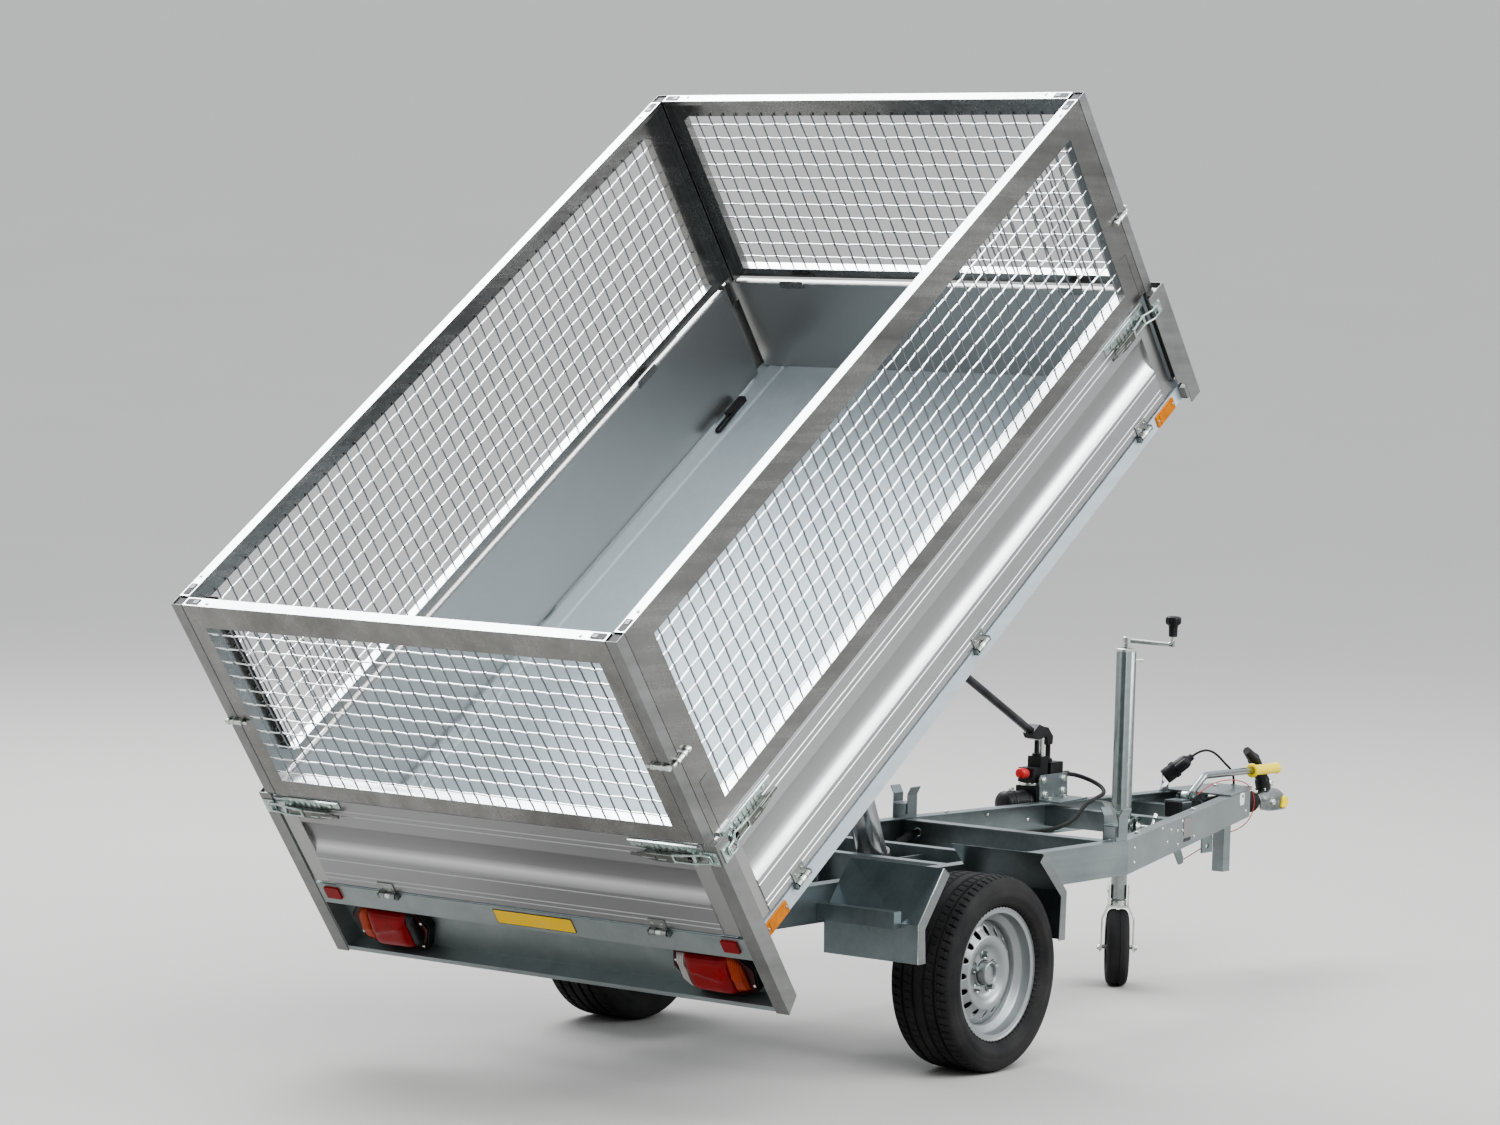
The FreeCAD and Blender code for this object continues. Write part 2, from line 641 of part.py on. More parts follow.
def pump():
    # the pump stands outside the left beam on an angle bracket
    x0, x1 = 1600.0, 1752.0
    z0, z1 = deck(x0) + seat, deck(x1) + seat
    riserY = web(x0) + 8
    footY = web(x1) - 30
    foot = slab([(x0, footY, z0), (x1, footY, z1), (x1, footY, z1 + 4), (x0, footY, z0 + 4)],
                (0, riserY + 4 - footY, 0))
    riser = slab([(x0, riserY, z0 - 30), (x1 + 8, riserY, z0 - 30), (x1, riserY, 606),
                  (x0 + 8, riserY, 606), (x0, riserY, 594)], (0, 4, 0))
    bracket = fuse([foot, riser])
    y = riserY + 4 + seat + 42
    cx = 1640.0
    z = z0
    body = box(cx - 50, cx + 112, y - 42, y + 34, z - 30, z + 44)
    neck = rod((cx - 20, y, z + 40), (cx - 20, y, z + 62), 30)
    block = box(cx - 52, cx - 6, y - 30, y + 26, z + 56, z + 100)
    tower = box(cx - 4, cx + 36, y - 24, y + 24, z + 40, z + 132)
    right = box(cx + 44, cx + 112, y - 30, y + 26, z + 44, z + 112)
    plunger = rod((cx + 8, y, z + 132), (cx + 8, y, z + 196), 8)
    post = rod((cx + 70, y, z + 112), (cx + 70, y, z + 176), 8)
    fork = slab([(cx - 46, y - 18, z + 206), (cx - 8, y - 18, z + 232), (cx + 22, y - 18, z + 222),
                 (cx + 28, y - 18, z + 192), (cx - 6, y - 18, z + 184), (cx - 34, y - 18, z + 190)],
                (0, 36, 0))
    link = slab([(cx + 14, y - 9, z + 226), (cx + 56, y - 9, z + 218), (cx + 84, y - 9, z + 190),
                 (cx + 82, y - 9, z + 166), (cx + 58, y - 9, z + 164), (cx + 50, y - 9, z + 190),
                 (cx + 20, y - 9, z + 200)], (0, 18, 0))
    # tank beside the beam, at the beam's angle
    slope = (beamOuter - noseOuter) / (noseX - kinkX)
    tank = rod((cx - 130, y + 92 * slope, z - 8), (cx - 38, y, z - 8), 38)
    hx, hy, hz = hoseRoute[0]
    fitting = rod((hx - 21, hy, hz), (hx, hy, hz), hoseWidth / 2 + 1.5)
    body = fuse([body, neck, block, tower, right, plunger, post, fork, link, tank, fitting])
    knob = rod((cx - 96, y - 6, z + 82), (cx - 52 - seat, y - 6, z + 82), 15)
    # the lever sits in the fork
    bx, bz = cx - 26, z + 210
    ux, uz = 1262 - bx, 917 - bz
    n = math.hypot(ux, uz)
    ux, uz = ux / n, uz / n
    hole = rod((bx - 60 * ux, y, bz - 60 * uz), (bx + 80 * ux, y, bz + 80 * uz), 13)
    body = cut(body, [hole])
    lever = rod((bx - 14 * ux, y, bz - 14 * uz), (bx + 440 * ux, y, bz + 440 * uz), 12.7)
    return bracket, body, knob, lever


# Plug and cords

def plug():
    r = plugRadius
    body = spinAlong([(12, 0), (12, r - 6), (0, r - 6), (0, r), (36, r), (36, r + 1), (44, r + 1), (44, r - 3),
                      (78, r - 3), (92, r - 9), (plugLength, r - 14), (plugLength, 0)], plugFace, plugAxis)
    d = V(*plugAxis).normalize()
    side = d.cross(V(0, 0, 1)).normalize()
    o = V(*plugFace) + side * (r - 8)
    lobe = spinAlong([(46, 0), (46, 12), (84, 12), (90, 8), (90, 0)], tuple(o), plugAxis)
    return fuse([body, lobe])


# Bed floor and underframe, drawn level

def bedFloor():
    x0, x1 = bedRear + 4, bedFront - 4
    z1 = floorTop
    z0 = z1 - floorSheet
    t = 2.5
    y, w = floorStep, floorHalf
    centre = box(x0, x1, -y, y, z0, z1)
    xs = bedRear + 66
    side = slab([(xs, y, z1), (xs, y + 8, z1 + 3), (xs, w - 39, z1 + 3), (xs, w - 30, z1 - 2), (xs, w, z1 - 2),
                 (xs, w, z1 - 45), (xs, w - 27, z1 - 45), (xs, w - 27, z1 - 45 + t), (xs, w - t, z1 - 45 + t),
                 (xs, w - t, z1 - 2 - t), (xs, w - 31, z1 - 2 - t), (xs, w - 40, z1 + 3 - t),
                 (xs, y + 9, z1 + 3 - t), (xs, y + 1, z0), (xs, y, z0)], (x1 - xs, 0, 0))
    lip = slab([(x0, y, z1), (x0, y + 8, z1 + 3), (x0, w - 39, z1 + 3), (x0, w - 39, z1 + 3 - t),
                (x0, y + 9, z1 + 3 - t), (x0, y + 1, z0), (x0, y, z0)], (xs - x0, 0, 0))
    return fuse([centre] + both(side.fuse(lip)))


def floorRib(x, y0, y1, top):
    # hat section across the bed
    t = 3.0
    return slab([(x - 30, y0, top), (x - 30, y0, top - t), (x - 14, y0, top - 40), (x + 14, y0, top - 40),
                 (x + 30, y0, top - t), (x + 30, y0, top), (x + 24, y0, top), (x + 11, y0, top - 37),
                 (x - 11, y0, top - 37), (x - 24, y0, top)], (0, y1 - y0, 0))


def underframe():
    x0, x1 = bedRear + 70, bedFront - 30
    top = floorTop - floorSheet - seat
    low = 566.0
    t = 3.0
    parts = []
    for s in (1, -1):
        y = s * hatY
        hat = slab([(x0, y - 45, top), (x0, y - 45, top - t), (x0, y - 20, top - t), (x0, y - 16, low),
                    (x0, y + 16, low), (x0, y + 20, top - t), (x0, y + 45, top - t), (x0, y + 45, top),
                    (x0, y + 18, top), (x0, y + 13, low + t), (x0, y - 13, low + t), (x0, y - 18, top)],
                   (x1 - x0, 0, 0))
        parts.append(hat)
        eye = box(pivotX - 22, pivotX + 22, y - 12, y + 12, pivotZ, low + 1)
        eye = eye.fuse(rod((pivotX, y - 12, pivotZ), (pivotX, y + 12, pivotZ), 22))
        eye = eye.cut(rod((pivotX, y - 20, pivotZ), (pivotX, y + 20, pivotZ), 10.08))
        parts.append(eye)
    for i in range(6):
        x = x0 + 80 + i * (x1 - x0 - 140) / 5
        if abs(x - ramEyeX) > 110:
            parts.append(floorRib(x, 48 - hatY, hatY - 48, top))
        parts += both(floorRib(x, hatY + 47, floorHalf - 37, top))
    for s in (1, -1):
        cheek = slab([(ramEyeX - 70, s * 34, top), (ramEyeX + 70, s * 34, top),
                      (ramEyeX + 24, s * 34, ramEyeZ - 20), (ramEyeX - 24, s * 34, ramEyeZ - 20)],
                     (0, s * 8, 0))
        hole = rod((ramEyeX, s * 30, ramEyeZ), (ramEyeX, s * 46, ramEyeZ), 10)
        parts.append(cheek.cut(hole))
    return parts


def lightCarrier():
    # folded beam under the tailgate with the recessed lamp channel below it
    half = carrierHalf
    x = bedRear + 2
    t = 2.5
    z1 = floorTop - floorSheet - seat
    z2 = openZ - 425
    z3 = openZ - 592
    back = bedRear + 62
    pts = [(x, z1), (x, z2), (back - t, z2 - 6), (back - t, z3 + t), (x + t, z3 + t), (x + t, z3 + 14),
           (x, z3 + 14), (x, z3), (back, z3), (back, z2 - 4), (x + t, z2 + t), (x + t, z1 - t),
           (x + 58, z1 - t), (x + 58, z1)]
    body = slab([(px, -half, pz) for px, pz in pts], (0, 2 * half, 0))
    ends = []
    for s in (1, -1):
        end = slab([(x, s * half, z1), (x, s * half, z3), (back - 10, s * half, z3 + 20),
                    (back, s * half, z3 + 60), (back, s * half, z1)], (0, s * 3, 0))
        ends.append(end)
    return fuse([body] + ends)


def postFootBlock(x0, x1, inner):
    # distance piece between the post and the side of the floor
    return box(x0, x1, inner + seat, postOut - 1, 588, 624)


def postSocket(x0, x1):
    # folded pocket for the post of the mesh
    outer = box(x0, x1, frameHalf + seat, postOut - 1, 856, 926)
    return outer.cut(box(x0 + 3, x1 - 3, frameHalf + 3, postOut - 3, 850, 930))


def cornerPost(front):
    # folded angle; drawn for the left side
    t = postSheet
    z0, z1 = postFoot, postTop
    if front:
        x1 = bedFront + 16
        side = slab([(x1 - 84, postOut - t, z1), (x1, postOut - t, z1), (x1, postOut - t, z0),
                     (x1 - 50, postOut - t, z0), (x1 - 50, postOut - t, z0 + 60),
                     (x1 - 84, postOut - t, z0 + 90)], (0, t, 0))
        leg = box(x1 - t, x1, postOut - 46, postOut, z0, z1)
        return fuse([side, leg, postFootBlock(bedFront - 46, bedFront - 8, floorHalf),
                     postSocket(bedFront - 42, bedFront - 4)])
    x0 = bedRear
    side = slab([(x0, postOut - t, z1), (x0 + 50, postOut - t, z1), (x0 + 50, postOut - t, openZ - 575),
                 (x0, postOut - t, openZ - 596)], (0, t, 0))
    leg = box(x0, x0 + t, carrierHalf + 3 + seat, postOut, openZ - 596, z1)
    return fuse([side, leg, postFootBlock(x0 + 5, x0 + 46, carrierHalf + 3), postSocket(x0 + 4, x0 + 42)])


def cornerPosts():
    return both(cornerPost(True)) + both(cornerPost(False))


# Board profile: x is the thickness to the outside, y the height

def boardOutline():
    d, h = boardDepth, boardHeight
    return [(0, 0), (d, 0), (d, 96), (d - 2, 108), (d - 8, 124), (d - 11, 142), (d - 11, 164),
            (d - 8, 184), (d - 3, 200), (d - 3, h), (0, h)]


def boardCells():
    d, w, h = boardDepth, boardWall, boardHeight
    return [[(w, w), (d - w, w), (d - w, 94), (w, 94)],
            [(w, 96), (d - w - 0.5, 97), (d - w - 2, 107), (d - w - 8, 123), (d - w - 11, 141),
             (d - w - 11, 165), (d - w - 8, 184), (d - w - 3, 200), (w, 200)],
            [(w, 202), (d - w - 3, 202), (d - w - 3, h - w), (w, h - w)]]


def board(length):
    # drawn along X with its inner face on Y = 0 and its lower edge on Z = 0
    face = Part.Face(poly([(0, y, z) for y, z in boardOutline()]))
    body = face.extrude(V(length, 0, 0))
    hollows = [Part.Face(poly([(-1, y, z) for y, z in cell])).extrude(V(length + 2, 0, 0))
               for cell in boardCells()]
    body = cut(body, hollows)
    grooves = []
    for z in (20, 35, 84, 244, 260):
        y = boardDepth if z < 200 else boardDepth - 3
        grooves.append(box(endPlate, length - endPlate, y - 1, y + 1, z - 1.2, z + 1.2))
    body = cut(body, grooves)
    return body


def latch():
    # over-centre latch; drawn on a board that ends at X = 0 and runs to +X
    y = boardDepth - 3 + seat
    base = box(6, 226, y, y + 3, 236, 292)
    ribs = [box(6, 226, y + 3, y + 12, 236, 239), box(30, 200, y + 3, y + 10, 289, 292)]
    lever = slab([(20, y + 12, 246), (170, y + 12, 242), (196, y + 12, 252), (196, y + 12, 262),
                  (150, y + 12, 270), (20, y + 12, 276)], (0, 4, 0))
    link = rod((14, y + 3, 262), (14, y + 20, 262), 7)
    block = box(30, 120, y + 3, y + 12, 250, 272)
    return fuse([base, lever, link, block] + ribs)


def hingeLeaf(x):
    # knuckle under a board, drawn on the board's own axes
    y, z = boardDepth + hingeOut, -hingeDrop
    knuckle = tube((x - 26, y, z), (x + 26, y, z), 8, hingeBore)
    leaf = box(x - 26, x + 26, boardDepth, boardDepth + 3, -4, 26)
    arm = slab([(x - 26, boardDepth, 0), (x - 26, boardDepth + 3, 0), (x - 26, y + 4, z + 7),
                (x - 26, y - 3, z + 7.4)], (52, 0, 0))
    arm = arm.cut(rod((x - 27, y, z), (x + 27, y, z), hingeBore + 1))
    return fuse([knuckle, leaf, arm])


def hingeSeat(x):
    # pin and ears on the bed, in the axes of the board
    y, z = boardDepth + hingeOut, -hingeDrop
    parts = [rod((x - 36, y, z), (x + 36, y, z), hingePin)]
    for s in (1, -1):
        x0 = x + s * 28
        x1 = x + s * 34
        parts.append(box(min(x0, x1), max(x0, x1), boardDepth - 1 + seat, y + 5, z - 8, z + 6))
    return fuse(parts)


def place(shape, corner, turn):
    out = shape.copy()
    out.rotate(V(0, 0, 0), V(0, 0, 1), turn)
    out.translate(V(*corner))
    return out


sideStart = bedRear + 52
sideLength = bedFront - 70 - sideStart
sideHinges = [190.0, sideLength / 2, sideLength - 190.0]
endHinges = [255.0, 2 * endHalf - 255.0]


def sideBoard(side):
    parts = [board(sideLength)] + [hingeLeaf(x) for x in sideHinges]
    body = fuse(parts)
    catches = [latch(), latch().mirror(V(sideLength / 2, 0, 0), V(1, 0, 0))]
    out = []
    for shape in (body, group(catches)):
        left = place(shape, (sideStart, boardInner, boardBottom), 0)
        out.append(left if side > 0 else mirrorY(left))
    return out


def tailgate():
    parts = [board(2 * endHalf)] + [hingeLeaf(x) for x in endHinges]
    body = fuse(parts)
    catches = [latch(), latch().mirror(V(endHalf, 0, 0), V(1, 0, 0))]
    corner = (bedRear + boardDepth + 1, -endHalf, boardBottom)
    return [place(shape, corner, 90) for shape in (body, group(catches))]


def headboard():
    corner = (bedFront - boardDepth + 2, endHalf, floorTop + 3 + seat)
    return place(board(2 * endHalf), corner, -90)


def hingeSeats():
    out = []
    for x in sideHinges:
        left = place(hingeSeat(x), (sideStart, boardInner, boardBottom), 0)
        out += both(left)
    for x in endHinges:
        out.append(place(hingeSeat(x), (bedRear + boardDepth + 1, -endHalf, boardBottom), 90))
    return out


# Mesh extension

def meshFrame(length, stile):
    # folded frame and its wires, drawn along X with its outer face on Y = 0, inside at +Y
    z0, z1 = frameLow, rimTop
    o0, o1 = openZ, openZ + openHeight
    t, d = sheet, rimDepth
    face = box(0, length, 0, t, z0, z1)
    face = cut(face, [box(stile, length - stile, -1, t + 1, o0, o1)])
    folds = [box(0, length, 0, d, z1 - t, z1),
             box(stile - t, length - stile + t, 0, d, o0 - t, o0),
             box(0, t, 0, d, z0, z1), box(length - t, length, 0, d, z0, z1),
             box(0, length, d - t, d, z1 - 14, z1),
             box(stile - t, stile, 0, d - 8, o0, o1), box(length - stile, length - stile + t, 0, d - 8, o0, o1)]
    frame = fuse([face] + folds)
    wires = []
    r = wireRadius
    y = t + r + seat
    for x in centred(length - 2 * stile):
        wires.append(rod((stile + x, y, o0 + seat), (stile + x, y, o1 + 8), r))
    for z in centred(openHeight):
        wires.append(rod((stile + seat, y + 2 * r + seat, o0 + z), (length - stile - seat, y + 2 * r + seat, o0 + z), r))
    return frame, wires


def centred(span):
    # places of the wires across an opening
    count = int(span / meshPitch)
    first = (span - (count - 1) * meshPitch) / 2
    return [first + i * meshPitch for i in range(count)]


def meshFrames():
    gap = meshPost + meshGap
    sideLen = bedLength - 2 * gap
    endLen = 2 * (frameHalf - gap)
    out = {}
    frame, wires = meshFrame(sideLen, stileSide)
    right = place(frame, (bedRear + gap, -frameHalf, 0), 0)
    wires = place(group(wires), (bedRear + gap, -frameHalf, 0), 0)
    out["mesh_frame_right"] = right
    out["mesh_frame_left"] = mirrorY(right)
    grid = both(wires)
    frame, wires = meshFrame(endLen, stileEnd)
    wires = group(wires)
    for name, corner, angle in (("rear", (bedRear, frameHalf - gap, 0), -90),
                                ("front", (bedFront, gap - frameHalf, 0), 90)):
        out["mesh_frame_" + name] = place(frame, corner, angle)
        grid.append(place(wires, corner, angle))
    out["mesh_wires"] = group(grid)
    return out


def meshPosts():
    t, w = sheet, meshPost
    z0, z1 = frameLow + 1, rimTop
    out = []
    for x, sx in ((bedRear, 1), (bedFront, -1)):
        a = box(min(x, x + sx * w), max(x, x + sx * w), frameHalf - t, frameHalf, z0, z1)
        b = box(min(x, x + sx * t), max(x, x + sx * t), frameHalf - w, frameHalf, z0, z1)
        c = box(min(x + sx * 4, x + sx * w), max(x + sx * 4, x + sx * w), frameHalf - t, frameHalf, 862, z0 + 2)
        out += both(fuse([a, b, c]))
    return out


def meshBolts():
    # spring bolt plates across the joints between posts and frames
    out = []
    g = meshPost + meshGap / 2
    for x, sx in ((bedRear, 1), (bedFront, -1)):
        z = openZ + 196
        cx = x + sx * g
        y = frameHalf + seat
        out += both(fuse([box(cx - 20, cx + 20, y, y + 3, z - 8, z + 8),
                          rod((cx - 24, y + 8, z), (cx + 22, y + 8, z), 5)]))
        x0 = x - sx * seat
        x1 = x - sx * (seat + 3)
        cy = frameHalf - g
        plate = box(min(x0, x1), max(x0, x1), cy - 20, cy + 20, z - 8, z + 8)
        pin = rod((x - sx * 8, cy - 22, z), (x - sx * 8, cy + 24, z), 5)
        out += both(fuse([plate, pin]))
    return out


def rimCaps():
    w = meshPost
    out = []
    for x, sx in ((bedRear, 1), (bedFront, -1)):
        a, b = x + sx * (sheet + seat), x + sx * (w - 2)
        cap = box(min(a, b), max(a, b), frameHalf - w + 2, frameHalf - sheet - seat, rimTop - 30, rimTop - 3)
        out += both(cap)
    return out


# Lamps and reflectors

def lampOutline(grow):
    return [(-104 - grow, 4), (-84, 62 + grow), (66, 66 + grow), (104 + grow, 20), (92 + grow, -44),
            (40, -66 - grow), (-70, -62 - grow)]


def lamps():
    bases, lenses = [], []
    z = openZ - 505
    back = bedRear + 62 - 2.5 - seat
    for s in (1, -1):
        c = s * (carrierHalf - 143)
        base = slab([(back, c + s * y, z + dz) for y, dz in lampOutline(0)], (-26, 0, 0))
        lens = slab([(back - 26 - seat, c + s * y * 0.93, z + dz * 0.93) for y, dz in lampOutline(0)],
                    (-22, 0, 0))
        bases.append(base)
        lenses.append(lens)
    return bases, lenses


def reflectors():
    red, amber = [], []
    x = bedRear + 2 - seat
    for s in (1, -1):
        y0, y1 = sorted((s * (carrierHalf - 74), s * (carrierHalf - 24)))
        red.append(box(x - 5, x, y0, y1, openZ - 402, openZ - 366))
    for x0 in (bedRear + 64, bedFront - 186):
        part = box(x0, x0 + 98, floorHalf + seat, floorHalf + seat + 5, openZ - 397, openZ - 362)
        amber += both(part)
    return red, amber


# Tipping ram, drawn along its own axis and turned to the raised bed's eye

def ramPose():
    ex, ez = turned(ramEyeX, ramEyeZ)
    dx, dz = ex - ramX, ez - ramZ
    return math.hypot(dx, dz), math.atan2(dz, dx)


def ramClosed():
    return math.hypot(ramEyeX - ramX, ramEyeZ - ramZ)


def ramParts():
    length, angle = ramPose()
    draw = (length - ramClosed()) / 4
    d = V(math.cos(angle), 0, math.sin(angle))
    o = V(ramX, 0, ramZ)

    def at(s):
        p = o + d * s
        return (p.x, 0, p.z)

    low = -ramBelow
    top = low + ramBarrel
    parts = []
    barrel = rod(at(low), at(top), ramStages[0]).cut(rod(at(low + 12), at(top + 1), ramStages[1] + 0.3))
    barrel = fuse([barrel, rod((ramX, -86, ramZ), (ramX, -ramStages[0] + 2, ramZ), 16),
                   rod((ramX, 86, ramZ), (ramX, ramStages[0] - 2, ramZ), 16)])
    parts.append(barrel)
    for i in range(1, 5):
        a = low + 14 + i * draw
        b = top + 8 * i + i * draw
        r = ramStages[i]
        if i < 4:
            stage = rod(at(a), at(b), r).cut(rod(at(a - 1), at(b + 1), ramStages[i + 1] + 0.3))
        else:
            stage = rod(at(a), at(length - 18), r)
            eye = rod((at(length)[0], -22, at(length)[2]), (at(length)[0], 22, at(length)[2]), 22)
            eye = eye.fuse(rod(at(length - 20), at(length - 40), r))
            pin = rod((at(length)[0], -29, at(length)[2]), (at(length)[0], 29, at(length)[2]), 9)
            stage = fuse([stage, eye, pin])
        parts.append(stage)
    return parts


def raised(shape):
    out = shape.copy()
    out.rotate(V(pivotX, 0, pivotZ), V(0, -1, 0), tipRest)
    return out


def save(name, shapes):
    if not isinstance(shapes, (list, tuple)):
        shapes = [shapes]
    whole = group(shapes)
    whole.translate(V(shiftX, 0, 0))
    whole.exportStep("parts/" + name + ".step")


def main():
    os.makedirs("parts", exist_ok=True)
    right = longBeam()
    save("beam_right", right)
    save("beam_left", mirrorY(right))
    small = [hookBracket(), plugSaddle(), leverStub()]
    save("cross_members", crossMembers() + drawbarMembers() + both(restBracket()) + small)
    save("axle", axle())
    for name, side in (("left", 1), ("right", -1)):
        save("tyre_" + name, tyre(side))
        wheel, drum = rim(side)
        save("rim_" + name, wheel)
        save("drum_" + name, drum)
        save("mudguards_" + name, mudguards(side))
    house, head = coupling()
    save("overrun_housing", [house, supportPost()])
    save("coupling_head", head)
    save("coupling_handle", couplingHandle())
    save("bellows", bellows())
    lever, grip = handbrake()
    save("handbrake_lever", lever)
    save("handbrake_grip", grip)
    outer, knob = jockeyOuter()
    save("jockey_outer", outer)
    save("jockey_knob", knob)
    save("jockey_leg", jockeyLeg())
    save("jockey_fork", swivelled(jockeyFork()))
    ty, hub = [swivelled(s) for s in jockeyWheel()]
    save("jockey_tyre", ty)
    save("jockey_hub", hub)
    plate, body, valve, lever = pump()
    save("pump_bracket", plate)
    save("pump_body", body)
    save("pump_valve", valve)
    save("pump_lever", lever)
    save("plug", plug())
    save("plug_lead", cord("plug lead", leadRoute, leadWidth))
    save("breakaway_cable", cord("breakaway cable", cableRoute, cableWidth))
    save("pump_hose", cord("pump hose", hoseRoute, hoseWidth))
    save("bed_floor", raised(bedFloor()))
    save("bed_underframe", [raised(s) for s in underframe() + hingeSeats()])
    save("light_carrier", raised(lightCarrier()))
    save("corner_posts", [raised(s) for s in cornerPosts()])
    save("headboard", raised(headboard()))
    for name, side in (("left", 1), ("right", -1)):
        body, catches = sideBoard(side)
        save("board_" + name, raised(body))
        save("latches_" + name, raised(catches))
    body, catches = tailgate()
    save("tailgate", raised(body))
    save("latches_tailgate", raised(catches))
    for name, shape in meshFrames().items():
        save(name, raised(shape))
    save("mesh_posts", [raised(s) for s in meshPosts() + meshBolts()])
    save("rim_caps", [raised(s) for s in rimCaps()])
    bases, lenses = lamps()
    save("lamp_bases", [raised(s) for s in bases])
    red, amber = reflectors()
    save("lamp_lenses", [raised(s) for s in lenses + red])
    save("reflectors_amber", [raised(s) for s in amber])
    for i, shape in enumerate(ramParts()):
        save("ram_barrel" if i == 0 else "ram_stage_%d" % i, shape)


main()
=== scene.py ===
import math
import bpy
import bmesh
import numpy as np
from mathutils import Matrix, Vector


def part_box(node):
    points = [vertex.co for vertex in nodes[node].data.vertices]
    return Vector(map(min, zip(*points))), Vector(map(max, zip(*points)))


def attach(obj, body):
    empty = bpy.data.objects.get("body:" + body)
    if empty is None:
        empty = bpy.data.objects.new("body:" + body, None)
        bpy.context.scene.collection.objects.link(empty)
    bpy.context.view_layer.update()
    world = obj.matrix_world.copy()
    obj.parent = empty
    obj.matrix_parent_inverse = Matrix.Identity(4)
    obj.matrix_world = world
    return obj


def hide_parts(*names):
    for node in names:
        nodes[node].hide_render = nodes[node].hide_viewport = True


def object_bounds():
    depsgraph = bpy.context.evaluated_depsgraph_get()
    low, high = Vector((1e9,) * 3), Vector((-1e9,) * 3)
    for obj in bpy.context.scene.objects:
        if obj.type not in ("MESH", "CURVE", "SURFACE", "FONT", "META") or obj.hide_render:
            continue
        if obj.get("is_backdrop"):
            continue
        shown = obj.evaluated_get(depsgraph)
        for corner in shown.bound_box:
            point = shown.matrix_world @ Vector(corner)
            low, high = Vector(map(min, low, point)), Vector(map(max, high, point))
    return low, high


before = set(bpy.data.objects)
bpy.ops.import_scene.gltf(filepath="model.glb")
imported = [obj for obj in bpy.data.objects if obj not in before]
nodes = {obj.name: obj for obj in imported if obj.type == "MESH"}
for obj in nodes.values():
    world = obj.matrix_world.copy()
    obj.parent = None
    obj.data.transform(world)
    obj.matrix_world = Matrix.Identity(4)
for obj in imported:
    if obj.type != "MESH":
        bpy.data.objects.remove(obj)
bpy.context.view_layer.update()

# Drawing axes: millimetres, X from the axle to the coupling, Y to the left, bed drawn level
bed = {"tip": 35.8, "pivotX": -915.5, "pivotZ": 540.0, "rear": -1161.0, "length": 2366.0,
       "half": 722.0, "openLow": 985.0, "openHeight": 501.0, "topRail": 70.0, "stileSide": 88.0,
       "stileEnd": 46.0, "corner": 36.0, "boardLow": 636.0, "boardHeight": 295.0}
bedFront = bed["rear"] + bed["length"]
rimTop = bed["openLow"] + bed["openHeight"] + bed["topRail"]
tyreLow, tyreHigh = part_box("tyre_left")
axleX = 0.5 * (tyreLow.x + tyreHigh.x)


def onChassis(p):
    # millimetres from the axle to metres in the frame
    return np.asarray(p, float) * 0.001 + np.array([axleX, 0.0, 0.0])


def onBed(p):
    # the level bed turned up about its rear pivot: a rotation in the X Z plane
    p = np.asarray(p, float)
    a = math.radians(bed["tip"])
    dx, dz = p[..., 0] - bed["pivotX"], p[..., 2] - bed["pivotZ"]
    x = bed["pivotX"] + dx * math.cos(a) - dz * math.sin(a)
    z = bed["pivotZ"] + dx * math.sin(a) + dz * math.cos(a)
    return onChassis(np.stack([x, p[..., 1], z], -1))


# Surfaces: each function gives points and faces

def gridFaces(nu, nv, closeU=False, closeV=False):
    # quads between neighbours of a grid with nu rows and nv columns
    u = np.arange(nu if closeU else nu - 1)
    v = np.arange(nv if closeV else nv - 1)
    a, b = np.meshgrid(u, v, indexing="ij")
    c, d = (a + 1) % nu, (b + 1) % nv
    return np.stack([a * nv + b, c * nv + b, c * nv + d, a * nv + d], -1).reshape(-1, 4)


def gridSurface(p, closeU=False, closeV=False, capU=False):
    # a grid of points p[u, v], with flat ends where capU is set
    nu, nv = p.shape[:2]
    faces = gridFaces(nu, nv, closeU, closeV).tolist()
    if capU:
        faces.append(list(range(nv))[::-1])
        faces.append(list(range((nu - 1) * nv, nu * nv)))
    return p.reshape(-1, 3), faces


def turned(profile, centre, axis, steps=64):
    # each profile pair (radius, distance) turns a circle round the axis through the centre
    profile = np.asarray(profile, float)
    axis = np.asarray(axis, float) / np.linalg.norm(axis)
    helper = np.array([0.0, 0.0, 1.0]) if abs(axis[2]) < 0.9 else np.array([1.0, 0.0, 0.0])
    e1 = np.cross(axis, helper)
    e1 /= np.linalg.norm(e1)
    e2 = np.cross(axis, e1)
    t = np.linspace(0, 2 * np.pi, steps, endpoint=False)[:, None, None]
    r, s = profile[None, :, 0, None], profile[None, :, 1, None]
    p = np.asarray(centre, float) + r * (np.cos(t) * e1 + np.sin(t) * e2) + s * axis
    return gridSurface(p, closeU=True)


def ringTurned(profile, centre, axis, steps=64):
    # the same with a closed profile, which makes a ring
    p, _ = turned(profile, centre, axis, steps)
    return p, gridFaces(steps, len(profile), True, True).tolist()


